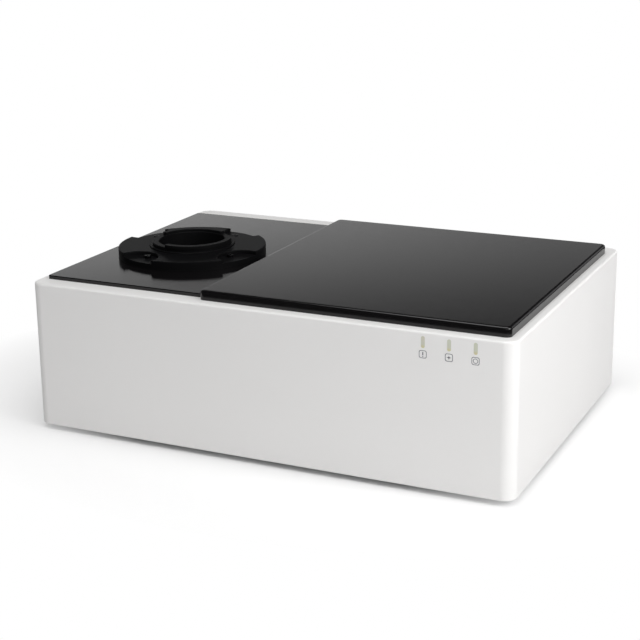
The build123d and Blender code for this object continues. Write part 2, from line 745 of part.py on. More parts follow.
def turntable_gear():
    """The ring gear under the casing's top, keyed on the turntable's hub."""
    gear = spur_gear(GEAR_TEETH, GEAR_MODULE, GEAR_W, 90.0)
    gear -= post(0, 0, 0, GEAR_W, HUB_R + SLIDE)
    return Pos(*STAGE, GEAR_LOW) * gear


def gear_snap_ring():
    """The open spring ring that keeps the gear on the hub."""
    r_in = HUB_R - SNAP_GROOVE + SLIDE
    ring = post(0, 0, 0, SNAP_RING_T, r_in + SNAP_RING_W) - post(0, 0, 0, SNAP_RING_T, r_in)
    reach = 2 * HUB_R
    half = radians(SNAP_GAP_DEG / 2)
    gap = make_face(Polyline((0, 0), (-reach, -reach * tan(half)), (-reach, reach * tan(half)), close=True))
    ring -= extrude(gap, SNAP_RING_T)
    return Pos(*STAGE, GEAR_LOW - SNAP_RING_T - 2 * SLIDE) * ring


def standoff_places():
    x = DRIVE_BRACKET_W / 2 - STANDOFF_R - 2
    return corners(STAGE_X, MOTOR_Y + 5, x, DRIVE_BRACKET_D / 2 - STANDOFF_R - 8)


def drive_plate():
    """The stiff plate under the casing's top that the adapter's screws clamp."""
    low, top = DRIVE_PLATE_LOW, DRIVE_PLATE_TOP
    plate = post(*STAGE, low, top, DRIVE_PLATE_R)
    back = MOTOR_Y + 5 + DRIVE_BRACKET_D / 2
    half = DRIVE_BRACKET_W / 2
    plate += block(STAGE_X - half, STAGE_X + half, STAGE_Y, back, low, top)
    plate -= post(*STAGE, low, top, SPIGOT_R + REST)
    for x, y in adapter_screw_places():
        plate -= post(x, y, low, top, ADAPTER_SCREW_R + SLIDE)
    return plate


def drive_bracket():
    """The motor's plate, hung from the drive plate on four standoffs."""
    y = MOTOR_Y + 5
    plate = rounded(STAGE_X, y, DRIVE_BRACKET_W, DRIVE_BRACKET_D, BRACKET_LOW, BRACKET_TOP, STANDOFF_R)
    for sx, sy in standoff_places():
        plate += post(sx, sy, BRACKET_TOP, DRIVE_PLATE_LOW, STANDOFF_R)
    plate -= post(STAGE_X, MOTOR_Y, BRACKET_LOW, BRACKET_TOP, MOTOR_PILOT_R + SLIDE)
    return plate


def square_motor(side, length, pilot_h, shaft_r):
    """A square stepper motor standing under z = 0, with a pilot ring above it."""
    body = extrude(chamfer(Rectangle(side, side).vertices(), MOTOR_CHAMFER), -length)
    body += post(0, 0, 0, pilot_h, MOTOR_PILOT_R)
    body -= post(0, 0, -length / 2, pilot_h, shaft_r + SLIDE)
    return body


def turntable_motor():
    motor = square_motor(MOTOR_SIDE, MOTOR_L, DRIVE_BRACKET_T, MOTOR_SHAFT_R)
    return Pos(STAGE_X, MOTOR_Y, BRACKET_LOW) * motor


def turntable_motor_shaft():
    low = BRACKET_LOW - MOTOR_L / 2 + 1
    return post(STAGE_X, MOTOR_Y, low, GEAR_TOP - 0.5, MOTOR_SHAFT_R)


def turntable_pinion():
    """The motor's pinion, with a gap between its teeth at the ring gear's tooth."""
    half_pitch = 180 / PINION_TEETH
    gear = spur_gear(PINION_TEETH, GEAR_MODULE, GEAR_W, -90.0 + half_pitch)
    boss = post(0, 0, BRACKET_TOP + REST - GEAR_LOW, 0, PINION_BOSS_R)
    gear += boss
    gear -= post(0, 0, BRACKET_TOP - GEAR_LOW, GEAR_W, MOTOR_SHAFT_R + SLIDE)
    return Pos(STAGE_X, MOTOR_Y, GEAR_LOW) * gear


# Optical bench
def optical_bench():
    y = BENCH_Y0 + BENCH_D / 2
    plate = rounded(0, y, BENCH_W, BENCH_D, BENCH_LOW, BENCH_TOP, BENCH_CORNER_R)
    gx, gy = GRATING_PLACE
    plate -= post(gx, gy, BENCH_LOW, BENCH_TOP, TURRET_SHAFT_R + SLIDE)
    return plate


def bench_posts():
    y = BENCH_Y0 + BENCH_D / 2
    places = corners(0, y, BENCH_W / 2 - BENCH_POST_INSET, BENCH_D / 2 - BENCH_POST_INSET)
    return Compound([post(px, py, PAN_TOP, BENCH_LOW, BENCH_POST_R) for px, py in places])


def port_tube(deg, r):
    """A cylinder from the sphere's middle out to a port's mouth."""
    tube = bar_x(0, OPTIC_Z, 0, PORT_REACH, r)
    return facing(STAGE, deg, tube)


def sphere_shell(r):
    return Pos(*STAGE, OPTIC_Z) * Sphere(r)


def sphere_body():
    """The lower part of the sphere, with its light and detector ports."""
    seam = OPTIC_Z + SPHERE_SEAM_UP
    body = sphere_shell(SPHERE_R)
    for deg in (BEAM_IN_DEG, DETECTOR_DEG):
        body += port_tube(deg, PORT_R + PORT_WALL)
    body -= sphere_shell(SPHERE_R - SPHERE_WALL)
    for deg in (BEAM_IN_DEG, DETECTOR_DEG):
        body -= port_tube(deg, PORT_R)
    above = post(*STAGE, seam, seam + 2 * SPHERE_R, 2 * SPHERE_R)
    body -= above
    flange = post(*STAGE, seam - SPHERE_FLANGE_T, seam, SPHERE_FLANGE_R)
    body += flange - sphere_shell(SPHERE_R - SPHERE_WALL / 2)
    return body


def sphere_cap():
    """The upper part of the sphere, with the neck that the sample window sits on."""
    seam = OPTIC_Z + SPHERE_SEAM_UP
    cap = sphere_shell(SPHERE_R) + post(*STAGE, OPTIC_Z + SPHERE_R / 2, CELL_LOW, NECK_R)
    cap -= post(*STAGE, seam - 2 * SPHERE_R, seam, 2 * SPHERE_R)
    flange = post(*STAGE, seam, seam + SPHERE_FLANGE_T, SPHERE_FLANGE_R)
    cap += flange
    cap -= sphere_shell(SPHERE_R - SPHERE_WALL)
    cap -= post(*STAGE, seam, CELL_LOW, WINDOW_R - WINDOW_LIP)
    return cap


def sphere_stand():
    stand = post(*STAGE, BENCH_TOP, OPTIC_Z - SPHERE_R + 4, STAND_R)
    stand += post(*STAGE, BENCH_TOP, BENCH_TOP + FOOT_PLATE_T, STAND_FOOT_R)
    return stand - sphere_shell(SPHERE_R + SLIDE)


def window_cell():
    cell = post(*STAGE, CELL_LOW, CELL_TOP, WINDOW_CELL_R)
    cell -= post(*STAGE, CELL_LOW, CELL_TOP, WINDOW_R - WINDOW_LIP)
    cell -= post(*STAGE, CELL_TOP - WINDOW_T, CELL_TOP, WINDOW_R + SLIDE)
    return cell


def sample_window():
    return post(*STAGE, CELL_TOP - WINDOW_T, CELL_TOP, WINDOW_R)


def detector():
    start = PORT_REACH
    neck = bar_x(0, OPTIC_Z, start, start + DETECTOR_FLANGE_T, DETECTOR_FLANGE_R)
    can = bar_x(0, OPTIC_Z, start + DETECTOR_FLANGE_T, start + DETECTOR_FLANGE_T + DETECTOR_L, DETECTOR_R)
    return facing(STAGE, DETECTOR_DEG, neck + can)


def detector_board():
    start = PORT_REACH + DETECTOR_FLANGE_T + DETECTOR_L
    w, h = DETECTOR_BOARD
    board = block(start, start + BOARD_T, -w / 2, w / 2, OPTIC_Z - h / 2, OPTIC_Z + h / 2)
    chip_x = start + BOARD_T
    for y in (-w / 4, w / 4):
        board += block(chip_x, chip_x + 2, y - 6, y + 6, OPTIC_Z - 5, OPTIC_Z + 5)
    return facing(STAGE, DETECTOR_DEG, board)


def lamp_reflector():
    """An elliptical reflector, opening towards +X."""
    wall = REFLECTOR_WALL
    depth = REFLECTOR_DEPTH
    mouth = REFLECTOR_R
    neck = REFLECTOR_NECK_R
    middle = (0.72 * mouth, -0.55 * depth)
    outside = ThreePointArc((mouth, 0), middle, (neck, -depth))
    inside = ThreePointArc((neck, -depth + wall), (middle[0] - wall, middle[1] + wall), (mouth - wall, 0))
    back = Polyline((neck, -depth), (0, -depth), (0, -depth + wall), (neck, -depth + wall))
    front = Line((mouth - wall, 0), (mouth, 0))
    bowl = revolve(make_face([outside, back, inside, front]), Axis.Y)
    return facing(LAMP, 0, Pos(0, 0, OPTIC_Z) * Rot(Z=-90) * bowl)


def lamp_bulb():
    back = -REFLECTOR_DEPTH + REFLECTOR_WALL
    bulb = bar_x(0, OPTIC_Z, back, back + BULB_L - BULB_R, BULB_R)
    bulb += Pos(back + BULB_L - BULB_R, 0, OPTIC_Z) * Sphere(BULB_R)
    return facing(LAMP, 0, bulb)


def lamp_socket():
    length, w, h = SOCKET_BLOCK
    back = -REFLECTOR_DEPTH
    return facing(LAMP, 0, block(back - length, back, -w / 2, w / 2, OPTIC_Z - h / 2, OPTIC_Z + h / 2))


def lamp_holder():
    """The plate that holds the reflector's rim, with cooling fins on top and a foot."""
    half = LAMP_HOLDER_W / 2
    t = LAMP_HOLDER_T
    top = OPTIC_Z + REFLECTOR_R + 4
    plate = block(-t, 0, -half, half, BENCH_TOP, top)
    plate += block(-t - 18, 0, -half, half, BENCH_TOP, BENCH_TOP + FOOT_PLATE_T)
    step = (LAMP_HOLDER_W - FIN_T) / (FIN_COUNT - 1)
    for i in range(FIN_COUNT):
        y = -half + i * step
        plate += block(0, FIN_DEPTH, y, y + FIN_T, BENCH_TOP + FIN_H / 2, BENCH_TOP + 1.5 * FIN_H)
    plate -= facing((0, 0), 0, bar_x(0, OPTIC_Z, -t, 0, REFLECTOR_R + SLIDE))
    return facing(LAMP, 0, plate)


def wheel_axis_y():
    return ENTRANCE[1]


def filter_places():
    """Middle of each filter about the wheel's axis, as Y and Z."""
    return around(FILTER_COUNT, FILTER_AT_R, 90.0)


def filter_wheel():
    """A wheel with stepped filter seats, a hub and the shaft that carries it."""
    y = wheel_axis_y()
    wheel = bar_x(y, WHEEL_Z, WHEEL_X, WHEEL_X + WHEEL_T, WHEEL_R)
    wheel += bar_x(y, WHEEL_Z, WHEEL_X, WHEEL_X + WHEEL_HUB_L, WHEEL_HUB_R)
    shaft_end = filter_motor_x() + FILTER_BRACKET_T + FILTER_MOTOR_L / 2 - 1
    wheel += bar_x(y, WHEEL_Z, WHEEL_X, shaft_end, MOTOR_SHAFT_R)
    for fy, fz in filter_places():
        wheel -= bar_x(y + fy, WHEEL_Z + fz, WHEEL_X, WHEEL_X + WHEEL_T, FILTER_R - FILTER_LIP)
        wheel -= bar_x(y + fy, WHEEL_Z + fz, WHEEL_X, WHEEL_X + FILTER_T, FILTER_R + SLIDE)
    return wheel


def filters():
    y = wheel_axis_y()
    places = filter_places()
    return Compound([bar_x(y + a, WHEEL_Z + b, WHEEL_X, WHEEL_X + FILTER_T, FILTER_R) for a, b in places])


def filter_motor_x():
    return WHEEL_X + WHEEL_HUB_L + 1


def filter_bracket():
    """The filter motor's plate and foot, below the light path."""
    x = filter_motor_x()
    y = wheel_axis_y()
    t = FILTER_BRACKET_T
    half = FILTER_MOTOR_R + 2
    plate = block(x, x + t, y - half, y + half, BENCH_TOP, WHEEL_Z + FILTER_MOTOR_R)
    plate += block(x, x + t + 14, y - half, y + half, BENCH_TOP, BENCH_TOP + FOOT_PLATE_T)
    plate -= bar_x(y, WHEEL_Z, x, x + t, WHEEL_HUB_R + SLIDE)
    return plate


def filter_motor():
    x = filter_motor_x()
    y = wheel_axis_y()
    motor_x = x + FILTER_BRACKET_T
    motor = bar_x(y, WHEEL_Z, motor_x, motor_x + FILTER_MOTOR_L, FILTER_MOTOR_R)
    motor += bar_x(y, WHEEL_Z, x, motor_x, WHEEL_HUB_R)
    motor -= bar_x(y, WHEEL_Z, x, motor_x + FILTER_MOTOR_L / 2, MOTOR_SHAFT_R + SLIDE)
    return motor


def slit_plate(place, deg):
    """An upright plate with a narrow slit on the light path, drawn facing +X."""
    w, t = SLIT_PLATE
    plate = block(-t / 2, t / 2, -w / 2, w / 2, BENCH_TOP, OPTIC_Z + SLIT_OVER)
    plate += block(-t / 2, t / 2 + 14, -w / 2, w / 2, BENCH_TOP, BENCH_TOP + FOOT_PLATE_T)
    plate -= bar_x(0, OPTIC_Z, -t / 2, -t / 2 + SLIT_RECESS_DEPTH, SLIT_RECESS_R)
    plate -= block(-t / 2, t / 2, -SLIT_W / 2, SLIT_W / 2, OPTIC_Z - SLIT_H / 2, OPTIC_Z + SLIT_H / 2)
    return facing(place, deg, plate)


def slits():
    entrance = slit_plate(ENTRANCE, heading(ENTRANCE, COLLIMATOR))
    return Compound([entrance, slit_plate(EXIT, heading(EXIT, FOCUS))])


def concave_mirror(place, deg):
    """A round mirror with its hollow face towards +X."""
    disc = bar_x(0, OPTIC_Z, -MIRROR_T, 0, MIRROR_R)
    sag = MIRROR_CURVE_R - sqrt(MIRROR_CURVE_R ** 2 - MIRROR_R ** 2)
    disc -= Pos(MIRROR_CURVE_R - sag, 0, OPTIC_Z) * Sphere(MIRROR_CURVE_R)
    return facing(place, deg, disc)


def mirror_mount(place, deg):
    """A square cell with a lip at the mirror's face, on a foot with two gussets."""
    half = MIRROR_CELL / 2
    t = MIRROR_CELL_T
    cell = block(-t + 2, 2, -half, half, OPTIC_Z - half, OPTIC_Z + half)
    neck = half - 12
    cell += block(-t + 2, 2, -neck, neck, BENCH_TOP, OPTIC_Z - half)
    cell += block(-MOUNT_FOOT_D, 2, -half, half, BENCH_TOP, BENCH_TOP + FOOT_PLATE_T)
    rib = make_face(Polyline(
        (-t + 2, BENCH_TOP + FOOT_PLATE_T), (-MOUNT_FOOT_D + 2, BENCH_TOP + FOOT_PLATE_T),
        (-t + 2, OPTIC_Z - half), close=True))
    for y in (-neck, neck - FOOT_PLATE_T):
        cell += Pos(0, y, 0) * Rot(X=90) * extrude(rib, -FOOT_PLATE_T)
    cell -= bar_x(0, OPTIC_Z, -t + 2, 0, MIRROR_R + SLIDE)
    cell -= bar_x(0, OPTIC_Z, 0, 2, MIRROR_R - MIRROR_LIP)
    return facing(place, deg, cell)


COLLIMATOR_DEG = halfway_heading(COLLIMATOR, ENTRANCE, GRATING_PLACE)
FOCUS_DEG = halfway_heading(FOCUS, GRATING_PLACE, EXIT)
GRATING_DEG = halfway_heading(GRATING_PLACE, COLLIMATOR, FOCUS)


def mirrors():
    """The two like mirrors that collimate the light and focus it again."""
    return Compound([concave_mirror(COLLIMATOR, COLLIMATOR_DEG), concave_mirror(FOCUS, FOCUS_DEG)])


def mirror_mounts():
    return Compound([mirror_mount(COLLIMATOR, COLLIMATOR_DEG), mirror_mount(FOCUS, FOCUS_DEG)])


# Grating turret and its drive
def sector_gear(width):
    """A toothed sector about +X, cut from a full wheel."""
    span = 360 * SECTOR_TEETH / SECTOR_FULL_TEETH
    first = -span / 2 + span / SECTOR_TEETH / 2
    points = gear_outline(SECTOR_FULL_TEETH, SECTOR_MODULE, BACKLASH, SECTOR_TEETH)
    outline = make_face(Polyline((0, 0), *points, close=True))
    return Rot(Z=first) * extrude(outline, width)


def grating_turret():
    """A table on a shaft, with the sector gear that turns it, drawn facing +X."""
    table_top = OPTIC_Z - GRATING[2] / 2
    sector_z = BENCH_TOP + SECTOR_UP
    turret = post(0, 0, BENCH_LOW, table_top, TURRET_SHAFT_R)
    turret += post(0, 0, BENCH_TOP + SLIDE, BENCH_TOP + TURRET_COLLAR_T, TURRET_COLLAR_R)
    turret += post(0, 0, table_top - TURRET_TABLE_T, table_top, TURRET_TABLE_R)
    turret += post(0, 0, sector_z - 2, sector_z + SECTOR_T + 2, TURRET_COLLAR_R)
    back = -GRATING[1] - SLIDE
    half = GRATING[0] / 2
    turret += block(back - 4, back, -half, half, table_top, table_top + GRATING[2] * 0.7)
    turret = facing(GRATING_PLACE, GRATING_DEG, turret)
    sector = Pos(0, 0, sector_z) * sector_gear(SECTOR_T)
    return turret + facing(GRATING_PLACE, GRATING_DEG + 180, sector)


def grating():
    """The ruled block, with its face on the turret's axis."""
    w, t, h = GRATING
    return facing(GRATING_PLACE, GRATING_DEG, block(-t, 0, -w / 2, w / 2, OPTIC_Z - h / 2, OPTIC_Z + h / 2))


def grating_drive_place():
    """The pinion's axis, behind the grating, at the gears' centre distance."""
    reach = SECTOR_MODULE * (SECTOR_FULL_TEETH + SECTOR_PINION_TEETH) / 2
    a = radians(GRATING_DEG + 180)
    return (GRATING_PLACE[0] + reach * cos(a), GRATING_PLACE[1] + reach * sin(a))


def grating_bracket_z():
    return BENCH_TOP + SECTOR_UP + SECTOR_T + 5


def grating_pinion():
    """The pinion with its shaft, in mesh with the sector's middle tooth."""
    sector_z = BENCH_TOP + SECTOR_UP
    half_pitch = 180 / SECTOR_PINION_TEETH
    gear = spur_gear(SECTOR_PINION_TEETH, SECTOR_MODULE, SECTOR_T + 2, half_pitch)
    pinion = Pos(0, 0, sector_z - 1) * gear
    top = grating_bracket_z() + GRATING_BRACKET_T + GRATING_MOTOR_L / 2 - 1
    pinion += post(0, 0, sector_z + SECTOR_T, top, GRATING_PINION_SHAFT_R)
    return facing(grating_drive_place(), GRATING_DEG, pinion)


def grating_bracket():
    """The bridge that holds the grating motor over its pinion."""
    half = GRATING_MOTOR_SIDE / 2
    z = grating_bracket_z()
    reach = half + 2 * STANDOFF_R + 1
    depth = GRATING_MOTOR_SIDE + GRATING_BRACKET_OVER
    y = GRATING_BRACKET_OVER / 2
    bridge = rounded(0, y, 2 * reach, depth, z, z + GRATING_BRACKET_T, STANDOFF_R)
    far = half + GRATING_BRACKET_OVER - STANDOFF_R
    for px in (STANDOFF_R - reach, reach - STANDOFF_R):
        for py in (0, far):
            bridge += post(px, py, BENCH_TOP, z, STANDOFF_R)
    bridge -= post(0, 0, z, z + GRATING_BRACKET_T, MOTOR_PILOT_R + SLIDE)
    return facing(grating_drive_place(), GRATING_DEG + 90, bridge)


def grating_motor():
    """A square motor standing on the bridge, with its shaft pointing down."""
    motor = square_motor(GRATING_MOTOR_SIDE, GRATING_MOTOR_L, GRATING_BRACKET_T, GRATING_PINION_SHAFT_R)
    z = grating_bracket_z() + GRATING_BRACKET_T
    return facing(grating_drive_place(), GRATING_DEG + 90, Pos(0, 0, z) * Rot(X=180) * motor)


# Relay lens and reference shutter
def lens_sag():
    return LENS_CURVE_R - sqrt(LENS_CURVE_R ** 2 - LENS_R ** 2)


def relay_lens():
    """A lens with two bulging faces, on the light path from the exit slit."""
    edge = LENS_EDGE / 2
    peak = edge + lens_sag()
    centre = peak - LENS_CURVE_R
    middle = LENS_R / 2
    bulge = centre + sqrt(LENS_CURVE_R ** 2 - middle ** 2)
    front = ThreePointArc((0, peak), (middle, bulge), (LENS_R, edge))
    rim = Line((LENS_R, edge), (LENS_R, -edge))
    back = ThreePointArc((LENS_R, -edge), (middle, -bulge), (0, -peak))
    axis = Line((0, -peak), (0, peak))
    lens = revolve(make_face([front, rim, back, axis]), Axis.Y)
    return facing(LENS, BEAM_IN_DEG, Pos(0, 0, OPTIC_Z) * Rot(Z=-90) * lens)


def lens_mount():
    w, t = LENS_MOUNT
    mount = block(-t / 2, t / 2, -w / 2, w / 2, BENCH_TOP, OPTIC_Z + LENS_R + 6)
    mount += block(-t, t, -w / 2, w / 2, BENCH_TOP, BENCH_TOP + FOOT_PLATE_T)
    mount -= bar_x(0, OPTIC_Z, -t / 2, t / 2, LENS_R + SLIDE)
    return facing(LENS, BEAM_IN_DEG, mount)


def solenoid_place():
    """The shutter's axis, beside the light path at the arm's length."""
    a = radians(BEAM_IN_DEG + 90)
    return (SHUTTER[0] + SHUTTER_ARM_L * cos(a), SHUTTER[1] + SHUTTER_ARM_L * sin(a))


def shutter_solenoid():
    body = post(0, 0, BENCH_TOP, BENCH_TOP + SOLENOID_H, SOLENOID_R)
    body += post(0, 0, BENCH_TOP, BENCH_TOP + FOOT_PLATE_T, SOLENOID_R + 5)
    body -= post(0, 0, BENCH_TOP + FOOT_PLATE_T, BENCH_TOP + SOLENOID_H, SHUTTER_SHAFT_R + SLIDE)
    return facing(solenoid_place(), 0, body)


def shutter_flag():
    """The solenoid's shaft with an arm and an upright flag across the light path."""
    w, t, h = SHUTTER_FLAG
    arm_w, arm_t = SHUTTER_ARM
    flag_low = OPTIC_Z - h / 2
    shaft = post(0, 0, BENCH_TOP + FOOT_PLATE_T + 1, flag_low + arm_t, SHUTTER_SHAFT_R)
    shaft += post(0, 0, flag_low, flag_low + arm_t, arm_w / 2)
    shaft += block(0, SHUTTER_ARM_L + w / 2, -arm_w / 2, arm_w / 2, flag_low, flag_low + arm_t)
    reach = SHUTTER_ARM_L
    shaft += block(reach - w / 2, reach + w / 2, -t / 2, t / 2, flag_low, flag_low + h)
    return facing(solenoid_place(), BEAM_IN_DEG - 90, shaft)


# Rear connections
def inlet_body_size():
    w, h = INLET_CAVITY
    return (w + 2 * INLET_WALL, h + 2 * INLET_WALL + FUSE_DRAWER[1] + FUSE_GAP)


def inlet_cavity_place():
    """The plug's cavity sits low in the inlet, under the fuse drawer."""
    x, z = INLET_AT
    return (x, z - inlet_body_size()[1] / 2 + INLET_WALL + INLET_CAVITY[1] / 2)


def fuse_place():
    x, z = INLET_AT
    return (x, z + inlet_body_size()[1] / 2 - INLET_WALL - FUSE_DRAWER[1] / 2)


def inlet_cavity():
    """The plug's cavity, with its two upper corners cut across."""
    w, h = INLET_CAVITY
    shape = make_face(Polyline(
        (-w / 2, -h / 2), (w / 2, -h / 2), (w / 2, h / 2 - INLET_CORNER_CUT),
        (w / 2 - INLET_CORNER_CUT, h / 2), (INLET_CORNER_CUT - w / 2, h / 2),
        (-w / 2, h / 2 - INLET_CORNER_CUT), close=True))
    x, z = inlet_cavity_place()
    return Pos(x, FLANGE_Y, z) * Rot(X=90) * extrude(shape, INLET_CAVITY_DEPTH)


def mains_inlet():
    lap = INLET_FLANGE_LAP
    w, h = inlet_body_size()
    body = rear_block(INLET_AT, (w, h), PANEL_Y - INLET_BODY_DEPTH, PANEL_Y)
    flange = extrude(RectangleRounded(w + 2 * lap, h + 2 * lap, lap), FLANGE_T)
    body += Pos(INLET_AT[0], FLANGE_Y, INLET_AT[1]) * Rot(X=90) * flange
    body -= inlet_cavity()
    body -= rear_block(fuse_place(), FUSE_DRAWER, FLANGE_Y - FUSE_DRAWER_DEPTH, FLANGE_Y, SLIDE)
    for x, z in pin_places():
        body -= rear_block((x, z), PIN, PANEL_Y - INLET_BODY_DEPTH, FLANGE_Y - INLET_CAVITY_DEPTH)
    return body


def pin_places():
    """Line and neutral below, earth above between them, as X and Z."""
    x, z = inlet_cavity_place()
    low = z - EARTH_UP / 2
    return [(x - PIN_SPACING / 2, low), (x + PIN_SPACING / 2, low), (x, low + EARTH_UP)]


def inlet_pins():
    """Flat pins that pass through the inlet's floor to the terminals behind it."""
    back = PANEL_Y - INLET_BODY_DEPTH - 6
    front = FLANGE_Y - INLET_CAVITY_DEPTH + PIN_L
    return Compound([rear_block(place, PIN, back, front) for place in pin_places()])


def fuse_drawer():
    w, h = FUSE_DRAWER
    x, z = fuse_place()
    drawer = rear_block((x, z), (w, h), FLANGE_Y - FUSE_DRAWER_DEPTH, FLANGE_Y)
    grip = rear_block((x, z + h / 4), (w / 3, h / 4), FLANGE_Y - 1.5, FLANGE_Y)
    return drawer - grip


def switch_open_size():
    """The rocker's opening, with room for its swing."""
    swing = (ROCKER_RISE + 1) * sin(radians(ROCKER_TILT_DEG))
    return (ROCKER_W + 2 * REST, ROCKER_H + 2 * swing + 2 * REST)


def switch_body_size():
    w, h = switch_open_size()
    return (w + 2 * SWITCH_WALL, h + 2 * SWITCH_WALL)


def rocker_pivot():
    """The rocker's axis runs along X through this Y and Z."""
    return (PANEL_Y - ROCKER_PIVOT_DEPTH, SWITCH_AT[1])


def switch_housing():
    w, h = switch_body_size()
    lap = SWITCH_FLANGE_LAP
    body = rear_block(SWITCH_AT, (w, h), PANEL_Y - SWITCH_DEPTH, PANEL_Y)
    flange = extrude(RectangleRounded(w + 2 * lap, h + 2 * lap, lap), FLANGE_T)
    body += Pos(SWITCH_AT[0], FLANGE_Y, SWITCH_AT[1]) * Rot(X=90) * flange
    body -= rear_block(SWITCH_AT, switch_open_size(), PANEL_Y - SWITCH_DEPTH + SWITCH_FLOOR, FLANGE_Y)
    y, z = rocker_pivot()
    body -= bar_x(y, z, SWITCH_AT[0] - w / 2, SWITCH_AT[0] + w / 2, ROCKER_PIN_R + SLIDE)
    return body


def power_rocker():
    """A rocker with two faces in a shallow V, resting on its lower end."""
    half = ROCKER_H / 2
    rise = ROCKER_RISE
    lift = half * tan(radians(ROCKER_TILT_DEG))
    side = -ROCKER_W / 2
    outline = make_face(Polyline(
        (side, rise + lift, -half), (side, rise, 0), (side, rise + lift, half),
        (side, rise - 3, half - 0.8), (side, -2.5, 2.5), (side, -2.5, -2.5),
        (side, rise - 3, -half + 0.8), close=True))
    body = extrude(outline, ROCKER_W, dir=(1, 0, 0))
    y, z = rocker_pivot()
    reach = switch_open_size()[0] / 2 + SWITCH_WALL - REST
    body += bar_x(0, 0, -reach, reach, ROCKER_PIN_R)
    return Pos(SWITCH_AT[0], y, z) * Rot(X=-ROCKER_TILT_DEG) * body


def usb_body_size():
    w, h = USB_OPEN
    return (w + 2 * USB_WALL, h + 2 * USB_WALL)


def usb_port():
    """A square data port with its cut corners and its tongue."""
    w, h = USB_OPEN
    body = rear_block(USB_AT, usb_body_size(), PANEL_Y - USB_DEPTH, PANEL_Y)
    flange = extrude(RectangleRounded(*USB_FLANGE, 1.5), FLANGE_T)
    body += Pos(USB_AT[0], FLANGE_Y, USB_AT[1]) * Rot(X=90) * flange
    cut = min(w, h) / 5
    shape = make_face(Polyline(
        (-w / 2, -h / 2), (w / 2, -h / 2), (w / 2, h / 2 - cut), (w / 2 - cut, h / 2),
        (cut - w / 2, h / 2), (-w / 2, h / 2 - cut), close=True))
    depth = USB_DEPTH + FLANGE_T - USB_WALL
    body -= Pos(USB_AT[0], FLANGE_Y, USB_AT[1]) * Rot(X=90) * extrude(shape, depth)
    body += rear_block(USB_AT, USB_TONGUE, FLANGE_Y - depth, FLANGE_Y - 3)
    return body


# Fan
def fan_screw_places():
    half = FAN_SCREW_PITCH / 2
    return corners(*FAN_AT, half, half)


def fan_frame():
    """A square frame with a round duct, a motor boss and three struts."""
    y1 = PANEL_IN_Y
    y0 = y1 - FAN_DEPTH
    x, z = FAN_AT
    shape = extrude(RectangleRounded(FAN_SIDE, FAN_SIDE, 4), FAN_DEPTH)
    frame = Pos(x, y1, z) * Rot(X=90) * shape
    frame -= bar_y(x, z, y0, y1, FAN_DUCT_R)
    frame += bar_y(x, z, y0, y0 + 3, FAN_HUB_R)
    for deg in (90, 210, 330):
        strut = block(0, FAN_DUCT_R + 0.5, -1.5, 1.5, 0, 3)
        frame += Pos(x, y0 + 3, z) * Rot(X=90) * Rot(Z=deg) * strut
    for sx, sz in fan_screw_places():
        frame -= bar_y(sx, sz, y0, y1, FAN_SCREW_R + CLEAR_HOLE)
    frame -= bar_y(x, z, y0, y0 + 3, FAN_SHAFT_R + SLIDE)
    return frame


def fan_blade():
    """One twisted blade, along +X, steeper at the hub than at the tip."""
    axial = FAN_DEPTH - 8
    root = Pos(FAN_HUB_R - 1, 0, 0) * Rot(Y=90) * Rot(Z=-38) * Rectangle(axial, FAN_BLADE_T)
    tip = Pos(FAN_ROTOR_R, 0, 0) * Rot(Y=90) * Rot(Z=-58) * Rectangle(axial * 1.2, FAN_BLADE_T)
    return loft([root, tip])


def fan_rotor():
    """Hub, shaft and blades, turning about Y."""
    axial = FAN_DEPTH - 4 - 2 * REST
    rotor = post(0, 0, -axial / 2, axial / 2, FAN_HUB_R)
    for i in range(FAN_BLADES):
        rotor += Rot(Z=360 * i / FAN_BLADES) * fan_blade()
    rotor += post(0, 0, -axial / 2 - 3, -axial / 2, FAN_SHAFT_R)
    x, z = FAN_AT
    middle = PANEL_IN_Y - FAN_DEPTH + 3 + REST + axial / 2
    return Pos(x, middle, z) * Rot(X=-90) * rotor


def fan_guard():
    """A flat finger guard of rings and spokes, on the outside of the panel."""
    x, z = FAN_AT
    rings = None
    step = (FAN_DUCT_R + 1 - 6) / (GUARD_RINGS - 1)
    half = GUARD_WIRE / 2
    for i in range(GUARD_RINGS):
        r = 6 + i * step
        ring = Circle(r + half) - Circle(r - half)
        rings = ring if rings is None else rings + ring
    for sx, sy in corners(0, 0, 1, 1):
        reach = hypot(FAN_SCREW_PITCH / 2, FAN_SCREW_PITCH / 2)
        deg = degrees(atan2(sy, sx))
        spoke = Rectangle(reach - 6, GUARD_WIRE + 0.6)
        rings += Rot(Z=deg) * Pos(6 + (reach - 6) / 2, 0) * spoke
        rings += Rot(Z=deg) * Pos(reach, 0) * Circle(FAN_SCREW_HEAD_R + 0.7)
    for sx, sy in corners(0, 0, FAN_SCREW_PITCH / 2, FAN_SCREW_PITCH / 2):
        rings -= Pos(sx, sy) * Circle(FAN_SCREW_R + CLEAR_HOLE)
    return Pos(x, PANEL_Y + GUARD_T, z) * Rot(X=90) * extrude(rings, GUARD_T)


def fan_screws():
    head_y = PANEL_Y + GUARD_T
    head_top = min(head_y + 1.5, BACK_Y - SLIDE)
    parts = []
    for x, z in fan_screw_places():
        screw = bar_y(x, z, head_y, head_top, FAN_SCREW_HEAD_R)
        screw += bar_y(x, z, PANEL_IN_Y - FAN_DEPTH, head_y, FAN_SCREW_R)
        parts.append(screw)
    return Compound(parts)


# Electronics on the pan
def supply_post_places():
    w, d, h = SUPPLY
    dx, dy = SUPPLY_POST_INSET
    return corners(*SUPPLY_AT, w / 2 - dx, d / 2 - dy)


